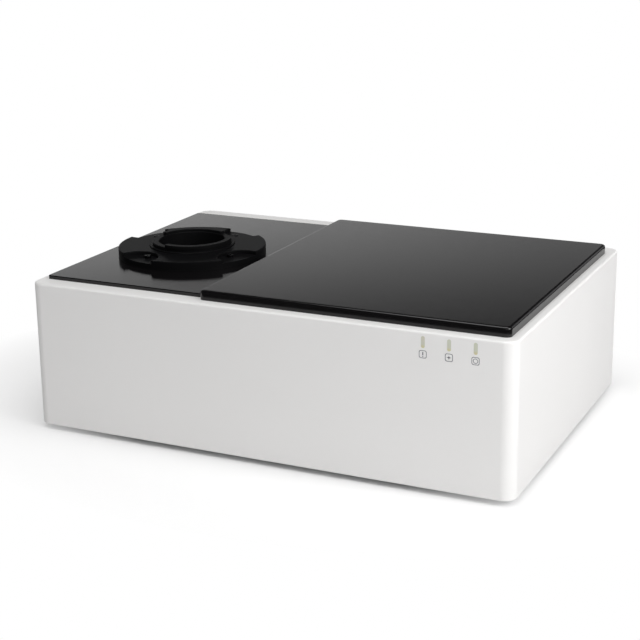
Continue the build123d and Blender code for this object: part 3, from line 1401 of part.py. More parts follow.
def power_supply():
    """A vented steel case on posts, with slots along its two long sides."""
    w, d, h = SUPPLY
    x, y = SUPPLY_AT
    t = SUPPLY_WALL
    low = PAN_TOP + SUPPLY_UP
    case = centred(x, y, w, d, low, low + h)
    case -= centred(x, y, w - 2 * t, d - 2 * t, low + t, low + h - t)
    vented = w - 2 * SUPPLY_POST_INSET[0]
    step = vented / (SUPPLY_VENTS - 1)
    for i in range(SUPPLY_VENTS):
        vx = x - vented / 2 + i * step
        case -= centred(vx, y, SUPPLY_VENT_W, d, low + h * 0.3, low + h * 0.75)
    return case


def board_post_places():
    w, d = MAIN_BOARD
    inset = BOARD_POST_INSET
    return corners(*MAIN_BOARD_AT, w / 2 - inset, d / 2 - inset)


def main_board():
    """The control board, with chips, capacitors and plug headers along its edge."""
    w, d = MAIN_BOARD
    x, y = MAIN_BOARD_AT
    z0 = PAN_TOP + MAIN_BOARD_UP
    top = z0 + BOARD_T
    board = centred(x, y, w, d, z0, top)
    for dx, side in ((-50, 20), (-10, 14), (24, 14)):
        board += centred(x + dx, y - 4, side, side, top, top + 2)
    for dx in (44, 58, 72):
        board += post(x + dx, y + 4, top, top + 14, 5)
    for i in range(5):
        board += centred(x - 60 + i * 30, y - d / 2 + 6, 18, 7, top, top + 9)
    return board


PARTS = {
    "casing": casing,
    "base_pan": base_pan,
    "case_screws": case_screws,
    "rubber_feet": rubber_feet,
    "left_panel": left_panel,
    "right_cover": right_cover,
    "light_pipes": light_pipes,
    "indicator_board": indicator_board,
    "stage_adapter": stage_adapter,
    "adapter_screws": adapter_screws,
    "turntable": turntable,
    "turntable_bush": turntable_bush,
    "turntable_gear": turntable_gear,
    "gear_snap_ring": gear_snap_ring,
    "drive_plate": drive_plate,
    "drive_bracket": drive_bracket,
    "turntable_motor": turntable_motor,
    "turntable_motor_shaft": turntable_motor_shaft,
    "turntable_pinion": turntable_pinion,
    "optical_bench": optical_bench,
    "bench_posts": bench_posts,
    "sphere_body": sphere_body,
    "sphere_cap": sphere_cap,
    "sphere_stand": sphere_stand,
    "window_cell": window_cell,
    "sample_window": sample_window,
    "detector": detector,
    "detector_board": detector_board,
    "lamp_reflector": lamp_reflector,
    "lamp_bulb": lamp_bulb,
    "lamp_socket": lamp_socket,
    "lamp_holder": lamp_holder,
    "filter_wheel": filter_wheel,
    "filters": filters,
    "filter_bracket": filter_bracket,
    "filter_motor": filter_motor,
    "slits": slits,
    "mirrors": mirrors,
    "mirror_mounts": mirror_mounts,
    "grating": grating,
    "grating_turret": grating_turret,
    "grating_pinion": grating_pinion,
    "grating_bracket": grating_bracket,
    "grating_motor": grating_motor,
    "relay_lens": relay_lens,
    "lens_mount": lens_mount,
    "shutter_flag": shutter_flag,
    "shutter_solenoid": shutter_solenoid,
    "mains_inlet": mains_inlet,
    "inlet_pins": inlet_pins,
    "fuse_drawer": fuse_drawer,
    "switch_housing": switch_housing,
    "power_rocker": power_rocker,
    "usb_port": usb_port,
    "fan_frame": fan_frame,
    "fan_rotor": fan_rotor,
    "fan_guard": fan_guard,
    "fan_screws": fan_screws,
    "power_supply": power_supply,
    "main_board": main_board,
}


def main():
    os.makedirs("parts", exist_ok=True)
    for node, make in PARTS.items():
        export_step(make(), f"parts/{node}.step")


main()
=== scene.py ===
"""Looks of a benchtop near-infrared spectrophotometer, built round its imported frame."""

import json
import math

import bmesh
import bpy
from mathutils import Matrix, Vector


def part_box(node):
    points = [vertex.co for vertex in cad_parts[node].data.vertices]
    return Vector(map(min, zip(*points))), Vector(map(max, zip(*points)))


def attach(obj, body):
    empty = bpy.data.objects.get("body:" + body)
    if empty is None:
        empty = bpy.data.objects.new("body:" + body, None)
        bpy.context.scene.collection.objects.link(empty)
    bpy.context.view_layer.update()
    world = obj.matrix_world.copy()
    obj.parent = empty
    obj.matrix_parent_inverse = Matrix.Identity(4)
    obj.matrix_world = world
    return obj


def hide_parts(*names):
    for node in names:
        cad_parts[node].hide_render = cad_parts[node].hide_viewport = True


bl_info = {
    "name": "Near-infrared spectrophotometer",
    "version": (1, 0, 0),
    "blender": (4, 5, 0),
    "location": "3D View > Sidebar > Instrument",
    "description": "Dresses the instrument's frame with its finishes, signs, lights and camera",
    "category": "Object",
}

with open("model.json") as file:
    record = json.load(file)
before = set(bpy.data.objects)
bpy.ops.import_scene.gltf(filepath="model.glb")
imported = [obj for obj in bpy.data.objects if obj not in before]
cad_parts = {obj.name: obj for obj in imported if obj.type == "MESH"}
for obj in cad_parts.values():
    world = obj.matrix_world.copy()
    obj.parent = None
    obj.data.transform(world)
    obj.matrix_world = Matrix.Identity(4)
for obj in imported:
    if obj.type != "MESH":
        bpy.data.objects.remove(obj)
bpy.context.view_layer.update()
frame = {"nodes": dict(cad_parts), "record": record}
CASING_LOW, CASING_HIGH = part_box("casing")
MM = 0.001


def linear(hex_colour):
    """An sRGB hex colour as linear red, green and blue."""
    parts = [int(hex_colour[i:i + 2], 16) / 255 for i in (1, 3, 5)]
    return tuple(p / 12.92 if p <= 0.04045 else ((p + 0.055) / 1.055) ** 2.4 for p in parts)


def colour_property(name, description, hex_colour):
    """A colour that a user can change, from its sRGB hex value."""
    return bpy.props.FloatVectorProperty(
        name=name, description=description, subtype="COLOR", size=3, min=0, max=1,
        default=linear(hex_colour))


def length_property(name, description, millimetres):
    """A length that a user can change, shown in the scene's units."""
    return bpy.props.FloatProperty(
        name=name, description=description, subtype="DISTANCE", unit="LENGTH", min=0,
        precision=5, default=millimetres * MM)


def lamp_property(name, description, watts):
    """A lamp's power that a user can change."""
    return bpy.props.FloatProperty(name=name, description=description, default=watts, min=0, unit="POWER")


# What a user would change
class CoverSettings(bpy.types.PropertyGroup):
    """The casing's coat and the two black covers."""
    enamel: colour_property("Enamel", "Powder coat of the casing", "#EFEEED")
    gloss_black: colour_property("Gloss black", "Moulded top covers", "#0E0D0E")
    grain: length_property("Orange peel", "Spacing of the powder coat's orange peel", 1.6)
    waviness: length_property("Waviness", "Spacing of the slow waves in the moulded covers", 60)


class StageSettings(bpy.types.PropertyGroup):
    """The sample stage: adapter, cup ring and screws."""
    anodised: colour_property("Anodised black", "Stage adapter and cup ring", "#101011")
    etched_grain: length_property("Etched grain", "Spacing of the etched grain, drawn coarse", 0.8)
    screw_steel: colour_property("Screw steel", "Blackened stage screws", "#1C1C1E")


class SignSettings(bpy.types.PropertyGroup):
    """The light guides and the signs under them."""
    ink: colour_property("Ink", "Printed signs under the lights", "#696872")
    guide: colour_property("Light guide", "Unlit light guides", "#D2D2C2")
    guide_glow: colour_property("Light guide foot", "The yellower foot of each guide", "#D8CF8E")
    sign_size: length_property("Sign size", "Side of each printed sign", 7.8)
    line: length_property("Line width", "Width of the printed lines", 0.55)
    below_top: length_property("Below the top", "Middle of the signs under the casing's top", 22.2)
    print_height: length_property("Ink thickness", "How far the ink stands off the casing", 0.06)


class PanelSettings(bpy.types.PropertyGroup):
    """The pan, the connectors and the feet."""
    grey: colour_property("Chassis grey", "Pan and connector panel", "#C9CBCB")
    plastic: colour_property("Black plastic", "Connectors and fan", "#18191A")
    rubber: colour_property("Rubber", "Feet", "#1A1A1A")


class StudioSettings(bpy.types.PropertyGroup):
    """The backdrop and the lamps."""
    backdrop: colour_property("Backdrop", "Floor and background", "#FFFFFF")
    key_lamp: lamp_property("Key", "Right-hand lamp", 11.5)
    fill_lamp: lamp_property("Fill", "Front lamp", 2.5)
    top_lamp: lamp_property("Top", "Overhead lamp", 12.0)
    sky: bpy.props.FloatProperty(name="Sky", description="Even light from all round", default=0.33, min=0)


# Node and mesh helpers
def add_node(tree, kind, links=None, **settings):
    """Adds one node, sets its properties, and fills or links its inputs."""
    node = tree.nodes.new(kind)
    for key, value in settings.items():
        setattr(node, key, value)
    for key, value in (links or {}).items():
        if isinstance(value, bpy.types.NodeSocket):
            tree.links.new(value, node.inputs[key])
        else:
            node.inputs[key].default_value = value
    return node


def rgba(colour):
    """A colour with full opacity, as sockets take it."""
    return (*tuple(colour)[:3], 1.0)


def shade(colour, factor):
    """A lighter or darker version of a colour."""
    return tuple(min(1.0, c * factor) for c in tuple(colour)[:3])


def start_material(name):
    """An empty material, its node tree, and its object coordinates in metres."""
    material = bpy.data.materials.new(name)
    material.use_nodes = True
    tree = material.node_tree
    tree.nodes.clear()
    place = add_node(tree, "ShaderNodeTexCoord").outputs["Object"]
    return material, tree, place


def mottled(tree, place, spacing, colour, spread):
    """The colour, a little lighter and darker in soft patches of that spacing."""
    noise = add_node(tree, "ShaderNodeTexNoise", {"Vector": place, "Scale": 1 / spacing, "Detail": 2.0})
    return add_node(
        tree, "ShaderNodeMix", data_type="RGBA",
        links={"Factor": noise.outputs["Fac"], "A": rgba(shade(colour, 1 - spread)),
               "B": rgba(shade(colour, 1 + spread))}).outputs["Result"]


def worked_surface(tree, place, spacing, detail, rough, strength, depth):
    """Fine grain, as a range of roughness and as a bump, with its spacing and depth in metres."""
    grain = add_node(tree, "ShaderNodeTexNoise", {"Vector": place, "Scale": 1 / spacing, "Detail": detail})
    roughness = add_node(tree, "ShaderNodeMapRange",
                         {"Value": grain.outputs["Fac"], "To Min": rough[0], "To Max": rough[1]})
    bump = add_node(tree, "ShaderNodeBump",
                    {"Height": grain.outputs["Fac"], "Strength": strength, "Distance": depth})
    return roughness.outputs["Result"], bump.outputs["Normal"]


def finish_material(tree, colour, roughness, bump=None, **values):
    """The principled surface: sockets are linked, and numbers are set on the shader itself."""
    links = {"Base Color": colour, "Roughness": roughness}
    if bump:
        links["Normal"] = bump
    links.update(values)
    surface = add_node(tree, "ShaderNodeBsdfPrincipled", links)
    add_node(tree, "ShaderNodeOutputMaterial", {"Surface": surface.outputs["BSDF"]})


def paint(material, *nodes):
    """Gives CAD nodes a material."""
    for name in nodes:
        for slot in frame["nodes"][name].material_slots:
            slot.material = material


SHARP_DEG = 32              # edges that turn by more stay sharp
WELD = 0.001 * MM           # corners of the CAD mesh that are nearer than this are one
FLAT_WEIGHT = 100           # how much a large face outweighs its small neighbours


def smooth_edges_group():
    """A modifier's node group that welds a mesh and smooths it, except over sharp edges."""
    name = "smooth_but_sharp_edges"
    group = bpy.data.node_groups.get(name)
    if group:
        return group
    group = bpy.data.node_groups.new(name, "GeometryNodeTree")
    group.interface.new_socket("Geometry", in_out="INPUT", socket_type="NodeSocketGeometry")
    group.interface.new_socket("Geometry", in_out="OUTPUT", socket_type="NodeSocketGeometry")
    start = add_node(group, "NodeGroupInput")
    bare = add_node(group, "GeometryNodeRemoveAttribute",
                    {"Geometry": start.outputs[0], "Name": "custom_normal"})
    weld = add_node(group, "GeometryNodeMergeByDistance",
                    {"Geometry": bare.outputs["Geometry"], "Distance": WELD})
    soft = add_node(group, "GeometryNodeSetShadeSmooth", {"Geometry": weld.outputs["Geometry"]})
    angle = add_node(group, "GeometryNodeInputMeshEdgeAngle")
    sharp = add_node(group, "FunctionNodeCompare",
                     {"A": angle.outputs["Unsigned Angle"], "B": math.radians(SHARP_DEG)},
                     data_type="FLOAT", operation="GREATER_THAN")
    hard = add_node(group, "GeometryNodeSetShadeSmooth",
                    {"Geometry": soft.outputs["Geometry"], "Selection": sharp.outputs["Result"],
                     "Shade Smooth": False}, domain="EDGE")
    add_node(group, "NodeGroupOutput", {0: hard.outputs["Geometry"]})
    return group


def smooth(piece):
    """Smooths a piece's round surfaces, and keeps its edges sharp and its flat faces flat."""
    modifier = piece.modifiers.new("smooth_edges", "NODES")
    modifier.node_group = smooth_edges_group()
    flat = piece.modifiers.new("flat_faces_stay_flat", "WEIGHTED_NORMAL")
    flat.mode = "FACE_AREA"
    flat.weight = FLAT_WEIGHT
    flat.keep_sharp = True


def smooth_nodes(*names):
    """Smooths CAD nodes."""
    for name in names:
        smooth(frame["nodes"][name])


def mesh_piece(name, bm, material, body):
    """A new piece from a bmesh, riding on a body."""
    mesh = bpy.data.meshes.new(name)
    bm.to_mesh(mesh)
    bm.free()
    mesh.materials.append(material)
    piece = bpy.data.objects.new(name, mesh)
    bpy.context.scene.collection.objects.link(piece)
    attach(piece, body)
    return piece


# Metals, with grains drawn as coarse as they need to show. Milling leaves bright fine marks, casting a
# duller skin, plating smooths what it covers, and blackening keeps only a faint glint.
MILLED_ALUMINIUM = {"colour": linear("#C9CBCC"), "roughness": 0.32, "grain": 0.7 * MM}
CAST_ALUMINIUM = {"colour": linear("#BFC1C2"), "roughness": 0.4, "grain": 0.9 * MM}
NICKEL_PLATE = {"colour": linear("#B9B9B6"), "roughness": 0.25, "grain": 0.6 * MM}
ZINC_PLATE = {"colour": linear("#B4B7BA"), "roughness": 0.35, "grain": 0.8 * MM}
GEAR_BRASS = {"colour": linear("#C9A861"), "roughness": 0.28, "grain": 0.5 * MM}
CONTACT_BRASS = {"colour": linear("#C8B27A"), "roughness": 0.25, "grain": 0.4 * MM}
SCREW_STEEL = {"roughness": 0.42, "grain": 0.6 * MM}

# Mouldings, ceramic and coats. A textured mould leaves an even dull grain, firing a chalky one, and rubber
# has no glint at all, while acetal, the pan's coat and solder mask are smoother.
ACETAL = {"colour": linear("#D8D4C6"), "roughness": 0.45, "grain": 0.4 * MM, "strength": 0.1}
MOTOR_PLASTIC = {"colour": linear("#202124"), "roughness": 0.5, "grain": 0.5 * MM}
CONNECTOR_PLASTIC = {"roughness": 0.42, "grain": 0.5 * MM}
LAMP_CERAMIC = {"colour": linear("#E6E3DA"), "roughness": 0.6, "grain": 0.4 * MM}
POST_RUBBER = {"colour": linear("#1A1A1A"), "roughness": 0.8, "grain": 0.6 * MM}
FOOT_RUBBER = {"roughness": 0.8, "grain": 0.6 * MM}
GREY_COAT = {"roughness": 0.45, "grain": 1.4 * MM, "strength": 0.1}
SOLDER_MASK = {"colour": linear("#1C5A38"), "roughness": 0.3, "grain": 1.2 * MM, "strength": 0.1}

# The optics' mounts are anodised as the stage is, and a little greyer
MOUNT_BLACK = {"colour": linear("#1B1B1C"), "grain": 0.8 * MM}

# Glass, mirrors, light guides, covers and ink
SAPPHIRE = linear("#EDF3F5")
OPTICAL_GLASS = linear("#E4EEF2")
MIRROR_GOLD = linear("#F2D79A")
MIRROR_HAZE = 2 * MM        # spacing of the coating's haze
FROST = 0.5 * MM            # spacing of the light guides' frosting
WIPE_MARKS = 9 * MM         # spacing of the marks that wiping leaves on the covers
COVER_ROUGHNESS = (0.12, 0.2)       # where the covers are wiped clean, and where they aren't
MIRROR_ROUGHNESS = (0.04, 0.09)     # without haze, and with it
GUIDE_ROUGHNESS = 0.3
POLISHED = 0.03
INK_ROUGHNESS = 0.55


# Materials
def powder_coated_steel(colour, grain):
    """Powder coat, sprayed and baked on sheet steel: satin, with an orange peel that softens glints."""
    material, tree, place = start_material("powder_coated_steel")
    body = mottled(tree, place, spacing=120 * MM, colour=colour, spread=0.012)
    rough, normal = worked_surface(
        tree, place, spacing=grain, detail=2, rough=(0.34, 0.44), strength=0.12, depth=0.02 * MM)
    finish_material(tree, body, rough, normal, **{"IOR": 1.5})
    return material


def gloss_moulding(colour, waviness):
    """ABS moulded in a polished tool: deep black, with slow waves and a gloss that wiping made uneven."""
    material, tree, place = start_material("gloss_black_abs")
    body = mottled(tree, place, spacing=50 * MM, colour=colour, spread=0.06)
    marks = add_node(tree, "ShaderNodeTexNoise",
                     {"Vector": place, "Scale": 1 / WIPE_MARKS, "Detail": 5.0, "Roughness": 0.7})
    rough = add_node(tree, "ShaderNodeMapRange",
                     {"Value": marks.outputs["Fac"],
                      "To Min": COVER_ROUGHNESS[0], "To Max": COVER_ROUGHNESS[1]})
    wave = add_node(tree, "ShaderNodeTexNoise", {"Vector": place, "Scale": 1 / waviness, "Detail": 1.0})
    bump = add_node(tree, "ShaderNodeBump",
                    {"Height": wave.outputs["Fac"], "Strength": 0.05, "Distance": 0.2 * MM})
    finish_material(tree, body, rough.outputs["Result"], bump.outputs["Normal"], **{"IOR": 1.5})
    return material


def anodised_black(name, colour, grain):
    """Aluminium turned, etched and anodised black: dull, with an even fine grain and hardly a glint."""
    material, tree, place = start_material(name)
    body = mottled(tree, place, spacing=20 * MM, colour=colour, spread=0.12)
    rough, normal = worked_surface(
        tree, place, spacing=grain, detail=3, rough=(0.38, 0.52), strength=0.1, depth=0.03 * MM)
    finish_material(tree, body, rough, normal, **{"IOR": 1.5, "Specular IOR Level": 0.05})
    return material


def plain_metal(name, colour, roughness, grain):
    """Metal as it was milled, plated or blackened: clear glints, broken by the grain the work left."""
    material, tree, place = start_material(name)
    body = mottled(tree, place, spacing=8 * grain, colour=colour, spread=0.05)
    rough, normal = worked_surface(
        tree, place, spacing=grain, detail=4, rough=(roughness * 0.8, roughness * 1.25),
        strength=0.08, depth=0.02 * MM)
    finish_material(tree, body, rough, normal, **{"Metallic": 1.0})
    return material


def dull_skin(name, colour, roughness, grain, strength=0.25):
    """Textured plastic or rubber, fired ceramic, or a matt coat: an even grain and no clear glint."""
    material, tree, place = start_material(name)
    body = mottled(tree, place, spacing=15 * MM, colour=colour, spread=0.06)
    rough, normal = worked_surface(
        tree, place, spacing=grain, detail=2, rough=(roughness * 0.9, roughness * 1.1),
        strength=strength, depth=0.05 * MM)
    finish_material(tree, body, rough, normal, **{"IOR": 1.46})
    return material


def frosted_guide(colour, foot, low, high):
    """Polycarbonate light guide, moulded and frosted: milky, and yellower at its foot."""
    material, tree, place = start_material("frosted_polycarbonate")
    height = add_node(tree, "ShaderNodeSeparateXYZ", {"Vector": place}).outputs["Z"]
    share = add_node(tree, "ShaderNodeMapRange", {"Value": height, "From Min": low, "From Max": high})
    body = add_node(tree, "ShaderNodeMix", data_type="RGBA",
                    links={"Factor": share.outputs["Result"], "A": rgba(foot), "B": rgba(colour)})
    frost = add_node(tree, "ShaderNodeTexNoise", {"Vector": place, "Scale": 1 / FROST})
    bump = add_node(tree, "ShaderNodeBump",
                    {"Height": frost.outputs["Fac"], "Strength": 0.1, "Distance": 0.02 * MM})
    finish_material(tree, body.outputs["Result"], GUIDE_ROUGHNESS, bump.outputs["Normal"],
                    **{"IOR": 1.58, "Subsurface Weight": 0.2, "Subsurface Scale": 2 * MM})
    return material


def clear_glass(name, colour):
    """Optical glass or sapphire, ground and polished: clear, with the faint tint of its coating."""
    material, tree, place = start_material(name)
    body = mottled(tree, place, spacing=10 * MM, colour=colour, spread=0.02)
    finish_material(tree, body, POLISHED, **{"IOR": 1.52, "Transmission Weight": 0.9})
    return material


def gold_mirror(colour):
    """Gold evaporated on polished glass: a warm mirror with a trace of haze."""
    material, tree, place = start_material("gold_mirror_coat")
    body = mottled(tree, place, spacing=10 * MM, colour=colour, spread=0.02)
    haze = add_node(tree, "ShaderNodeTexNoise", {"Vector": place, "Scale": 1 / MIRROR_HAZE})
    rough = add_node(tree, "ShaderNodeMapRange",
                     {"Value": haze.outputs["Fac"],
                      "To Min": MIRROR_ROUGHNESS[0], "To Max": MIRROR_ROUGHNESS[1]})
    finish_material(tree, body, rough.outputs["Result"], **{"Metallic": 1.0})
    return material


def printed_ink(colour):
    """Epoxy ink, pad printed: flat, with slightly uneven cover."""
    material, tree, place = start_material("printed_ink")
    body = mottled(tree, place, spacing=0.6 * MM, colour=colour, spread=0.08)
    finish_material(tree, body, INK_ROUGHNESS, **{"IOR": 1.5})
    return material


# Cup ring of the turntable, in millimetres, out from the bore that takes the cup and down from its top
CUP_BORE = next(mount for mount in frame["record"]["mounts"] if mount["name"] == "sample_cup_bore")
BORE_R = CUP_BORE["dims"]["r_mm"]
HUB_R = BORE_R + 4.0        # outside of the hub, which turns in the bush
LEDGE_R = BORE_R - 2.5      # the ledge at the bore's foot, on which the cup stands
LEDGE_T = 2.0
STEP_R = BORE_R + 10.2      # outside of the step, over the bush's flange
STEP_DOWN = 6.7             # from the arcs' top to the outer step
STEP_T = 4.0
BAND_R = BORE_R + 7.4       # outside of the flat band
BAND_DOWN = 2.9             # from the arcs' top to the flat band between them
ARC_R = (BORE_R + 1.4, BORE_R + 8.4)            # inside and outside of the arcs
ARCS_DEG = ((-100.0, 16.0), (68.0, 165.0))      # each arc's start and end, from the right towards the back
EDGE = 0.6                  # bevel along the ring's edges
RING_STEPS = 128


def add_lathe(bm, profile, steps):
    """A ring turned from a closed profile of (radius, height) points in metres."""
    rows = []
    for i in range(steps):
        a = 2 * math.pi * i / steps
        rows.append([bm.verts.new((r * math.cos(a), r * math.sin(a), z)) for r, z in profile])
    count = len(profile)
    for i in range(steps):
        here, there = rows[i], rows[(i + 1) % steps]
        for j in range(count):
            k = (j + 1) % count
            bm.faces.new((here[j], there[j], there[k], here[k]))


def arc_outline(start_deg, end_deg, inset, steps=40, end_steps=8):
    """Plan points of a raised arc with round ends, drawn in by an inset, in metres."""
    inner, outer = ARC_R[0] + inset, ARC_R[1] - inset
    middle = sum(ARC_R) / 2
    half = (outer - inner) / 2
    start, end = math.radians(start_deg), math.radians(end_deg)
    turns = [start + (end - start) * i / steps for i in range(steps + 1)]

    def round_end(at, first):
        x, y = middle * math.cos(at), middle * math.sin(at)
        angles = [first + math.pi * i / end_steps for i in range(1, end_steps)]
        return [(x + half * math.cos(a), y + half * math.sin(a)) for a in angles]

    points = [(outer * math.cos(a), outer * math.sin(a)) for a in turns]
    points += round_end(end, end)
    points += [(inner * math.cos(a), inner * math.sin(a)) for a in reversed(turns)]
    points += round_end(start, start + math.pi)
    return [(x * MM, y * MM) for x, y in points]


def add_raised_arc(bm, start_deg, end_deg, low, high):
    """One raised wall with a small bevel round its top."""
    layers = ((0, low), (0, high - EDGE * MM), (EDGE, high))
    loops = []
    for inset, z in layers:
        outline = arc_outline(start_deg, end_deg, inset)
        loops.append([bm.verts.new((x, y, z)) for x, y in outline])
    count = len(loops[0])
    for below, above in zip(loops, loops[1:]):
        for i in range(count):
            j = (i + 1) % count
            bm.faces.new((below[i], below[j], above[j], above[i]))
    bm.faces.new(loops[-1])
    bm.faces.new(tuple(reversed(loops[0])))


def cup_ring(material):
    """The cup ring with a flat band round its bore and two raised arcs standing on the band."""
    low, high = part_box("turntable")
    top = high.z
    band = top - BAND_DOWN * MM
    step = top - STEP_DOWN * MM
    under_step = step - STEP_T * MM
    ledge = low.z + LEDGE_T * MM
    bore, hub, lip = BORE_R * MM, HUB_R * MM, LEDGE_R * MM
    rim, outer = BAND_R * MM, STEP_R * MM
    edge = EDGE * MM
    bm = bmesh.new()
    add_lathe(bm, [
        (bore, ledge), (bore, band - edge), (bore + edge, band),
        (rim - edge, band), (rim, band - edge), (rim, step),
        (outer - edge, step), (outer, step - edge), (outer, under_step),
        (hub, under_step), (hub, low.z), (lip, low.z), (lip, ledge),
    ], RING_STEPS)
    for start, end in ARCS_DEG:
        add_raised_arc(bm, start, end, band - edge, top)
    bmesh.ops.recalc_face_normals(bm, faces=bm.faces)
    bmesh.ops.translate(bm, verts=bm.verts, vec=((low.x + high.x) / 2, (low.y + high.y) / 2, 0))
    ring = mesh_piece("cup_ring", bm, material, "turntable")
    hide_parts("turntable")
    return ring


# Pieces
class INSTRUMENT_OT_covers(bpy.types.Operator):
    """Powder-coated casing and the two gloss black top covers"""
    bl_idname = "instrument.covers"
    bl_label = "Casing and top covers"

    def execute(self, context):
        settings = context.scene.instrument_covers
        paint(powder_coated_steel(settings.enamel, settings.grain), "casing")
        paint(gloss_moulding(settings.gloss_black, settings.waviness), "left_panel", "right_cover")
        smooth_nodes("casing", "left_panel", "right_cover")
        return {"FINISHED"}


class INSTRUMENT_OT_stage_parts(bpy.types.Operator):
    """Stage adapter, cup ring, screws, sample window and the drive under them"""
    bl_idname = "instrument.stage_parts"
    bl_label = "Sample stage and its drive"

    def execute(self, context):
        settings = context.scene.instrument_stage
        black = anodised_black("black_anodised_aluminium", settings.anodised, settings.etched_grain)
        paint(black, "stage_adapter", "window_cell", "sphere_stand")
        smooth(cup_ring(black))
        paint(plain_metal("blackened_screw_steel", settings.screw_steel, **SCREW_STEEL),
              "adapter_screws", "gear_snap_ring", "turntable_motor_shaft")
        paint(dull_skin("moulded_acetal", **ACETAL), "turntable_bush", "turntable_gear")
        paint(plain_metal("milled_aluminium", **MILLED_ALUMINIUM), "drive_plate", "drive_bracket")
        paint(plain_metal("machined_brass", **GEAR_BRASS), "turntable_pinion")
        paint(dull_skin("moulded_motor_case", **MOTOR_PLASTIC), "turntable_motor")
        paint(clear_glass("polished_sapphire", SAPPHIRE), "sample_window")
        smooth_nodes("stage_adapter", "adapter_screws", "window_cell", "turntable_bush",
                     "turntable_gear", "turntable_pinion", "turntable_motor", "gear_snap_ring")
        return {"FINISHED"}


class INSTRUMENT_OT_optics(bpy.types.Operator):
    """Bench, sphere, lamp, filters, mirrors, grating, lens and shutter"""
    bl_idname = "instrument.optics"
    bl_label = "Optical parts inside"

    def execute(self, context):
        paint(plain_metal("cast_and_milled_aluminium", **CAST_ALUMINIUM), "optical_bench", "sphere_body",
              "sphere_cap", "filter_bracket", "grating_turret", "grating_bracket", "shutter_flag")
        paint(plain_metal("nickel_plated_steel", **NICKEL_PLATE), "detector", "shutter_solenoid")
        paint(plain_metal("pinion_brass", **GEAR_BRASS), "grating_pinion")
        paint(anodised_black("black_anodised_mounts", **MOUNT_BLACK),
              "lamp_holder", "filter_wheel", "slits", "mirror_mounts", "lens_mount")
        paint(clear_glass("optical_glass", OPTICAL_GLASS), "lamp_bulb", "filters", "relay_lens")
        paint(gold_mirror(MIRROR_GOLD), "lamp_reflector", "mirrors", "grating")
        paint(dull_skin("fired_lamp_ceramic", **LAMP_CERAMIC), "lamp_socket")
        paint(dull_skin("moulded_post_rubber", **POST_RUBBER), "bench_posts")
        paint(dull_skin("small_motor_case", **MOTOR_PLASTIC), "filter_motor", "grating_motor")
        paint(dull_skin("detector_solder_mask", **SOLDER_MASK), "detector_board")
        return {"FINISHED"}


class INSTRUMENT_OT_chassis(bpy.types.Operator):
    """Chassis pan, feet, screws, rear connections, fan and the boards inside"""
    bl_idname = "instrument.chassis"
    bl_label = "Chassis, connections and boards"

    def execute(self, context):
        settings = context.scene.instrument_panel
        paint(dull_skin("grey_powder_coat", settings.grey, **GREY_COAT), "base_pan")
        paint(dull_skin("moulded_connector_plastic", settings.plastic, **CONNECTOR_PLASTIC),
              "mains_inlet", "fuse_drawer", "switch_housing", "power_rocker", "fan_frame", "fan_rotor")
        paint(dull_skin("moulded_foot_rubber", settings.rubber, **FOOT_RUBBER), "rubber_feet")
        paint(plain_metal("zinc_plated_steel", **ZINC_PLATE),
              "case_screws", "fan_guard", "fan_screws", "usb_port", "power_supply")
        paint(plain_metal("plated_contact_brass", **CONTACT_BRASS), "inlet_pins")
        paint(dull_skin("main_solder_mask", **SOLDER_MASK), "main_board", "indicator_board")
        smooth_nodes("base_pan", "rubber_feet", "case_screws", "mains_inlet", "switch_housing",
                     "power_rocker", "usb_port", "fan_frame", "fan_rotor", "fan_guard", "fan_screws")
        return {"FINISHED"}


# Signs, as shares of a sign's side unless they say otherwise
CORNER = 0.24               # radius of the frame's corners
STROKE_UP = 0.08            # middle of the first sign's upright stroke
STROKE_LENGTH = 0.4
DOT_DOWN = 0.27             # middle of the dot under it
STROKE_LINES = 2.0          # width of both, in printed lines
DOT_LINES = 1.5             # height of the dot, in printed lines
SPARK_ACROSS = 0.33         # reach of the second sign's spark
SPARK_UP = 0.3
SPARK_LINES = 1.1           # half-width of its rays' middle, in printed lines
RING_R = 0.32               # the third sign's ring

FOOT_SHARE = 0.35           # share of a light guide's height over which its yellow foot fades
GUIDE_FLANGE_W = 6 * MM     # width of a light guide over its flange, behind the casing's wall


def add_ring(bm, outer, inner, y, centre):
    """A flat frame between two closed outlines of equal length, facing the front."""
    out, into = ([bm.verts.new((centre[0] + x, y, centre[1] + z)) for x, z in points]
                 for points in (outer, inner))
    count = len(out)
    for i in range(count):
        j = (i + 1) % count
        bm.faces.new((out[i], out[j], into[j], into[i]))


def add_plate(bm, points, y, centre):
    """A flat filled outline, facing the front."""
    bm.faces.new([bm.verts.new((centre[0] + x, y, centre[1] + z)) for x, z in points])


def rounded_square(side, radius, steps=5):
    """Points of a square with round corners, about its middle."""
    points = []
    reach = side / 2 - radius
    for k, (sx, sz) in enumerate(((1, 1), (-1, 1), (-1, -1), (1, -1))):
        for i in range(steps + 1):
            a = math.radians(90 * (k + i / steps))
            points.append((sx * reach + radius * math.cos(a), sz * reach + radius * math.sin(a)))
    return points


def diamond(reach_x, reach_z):
    """Points of a diamond about its middle."""
    return [(reach_x, 0), (0, reach_z), (-reach_x, 0), (0, -reach_z)]


def bar(z, w, h):
    """Points of an upright bar whose middle is at a height."""
    return [(w / 2, z - h / 2), (w / 2, z + h / 2), (-w / 2, z + h / 2), (-w / 2, z - h / 2)]


def circle(radius, steps=24):
    """Points of a circle about its middle."""
    turns = [2 * math.pi * i / steps for i in range(steps)]
    return [(radius * math.cos(a), radius * math.sin(a)) for a in turns]


def thicken(bm, thickness):
    """Gives flat outlines a real thickness, out from the casing's front."""
    faces = list(bm.faces)
    made = bmesh.ops.extrude_face_region(bm, geom=faces)
    moved = [v for v in made["geom"] if isinstance(v, bmesh.types.BMVert)]
    bmesh.ops.translate(bm, verts=moved, vec=(0, -thickness, 0))
    bmesh.ops.recalc_face_normals(bm, faces=bm.faces)


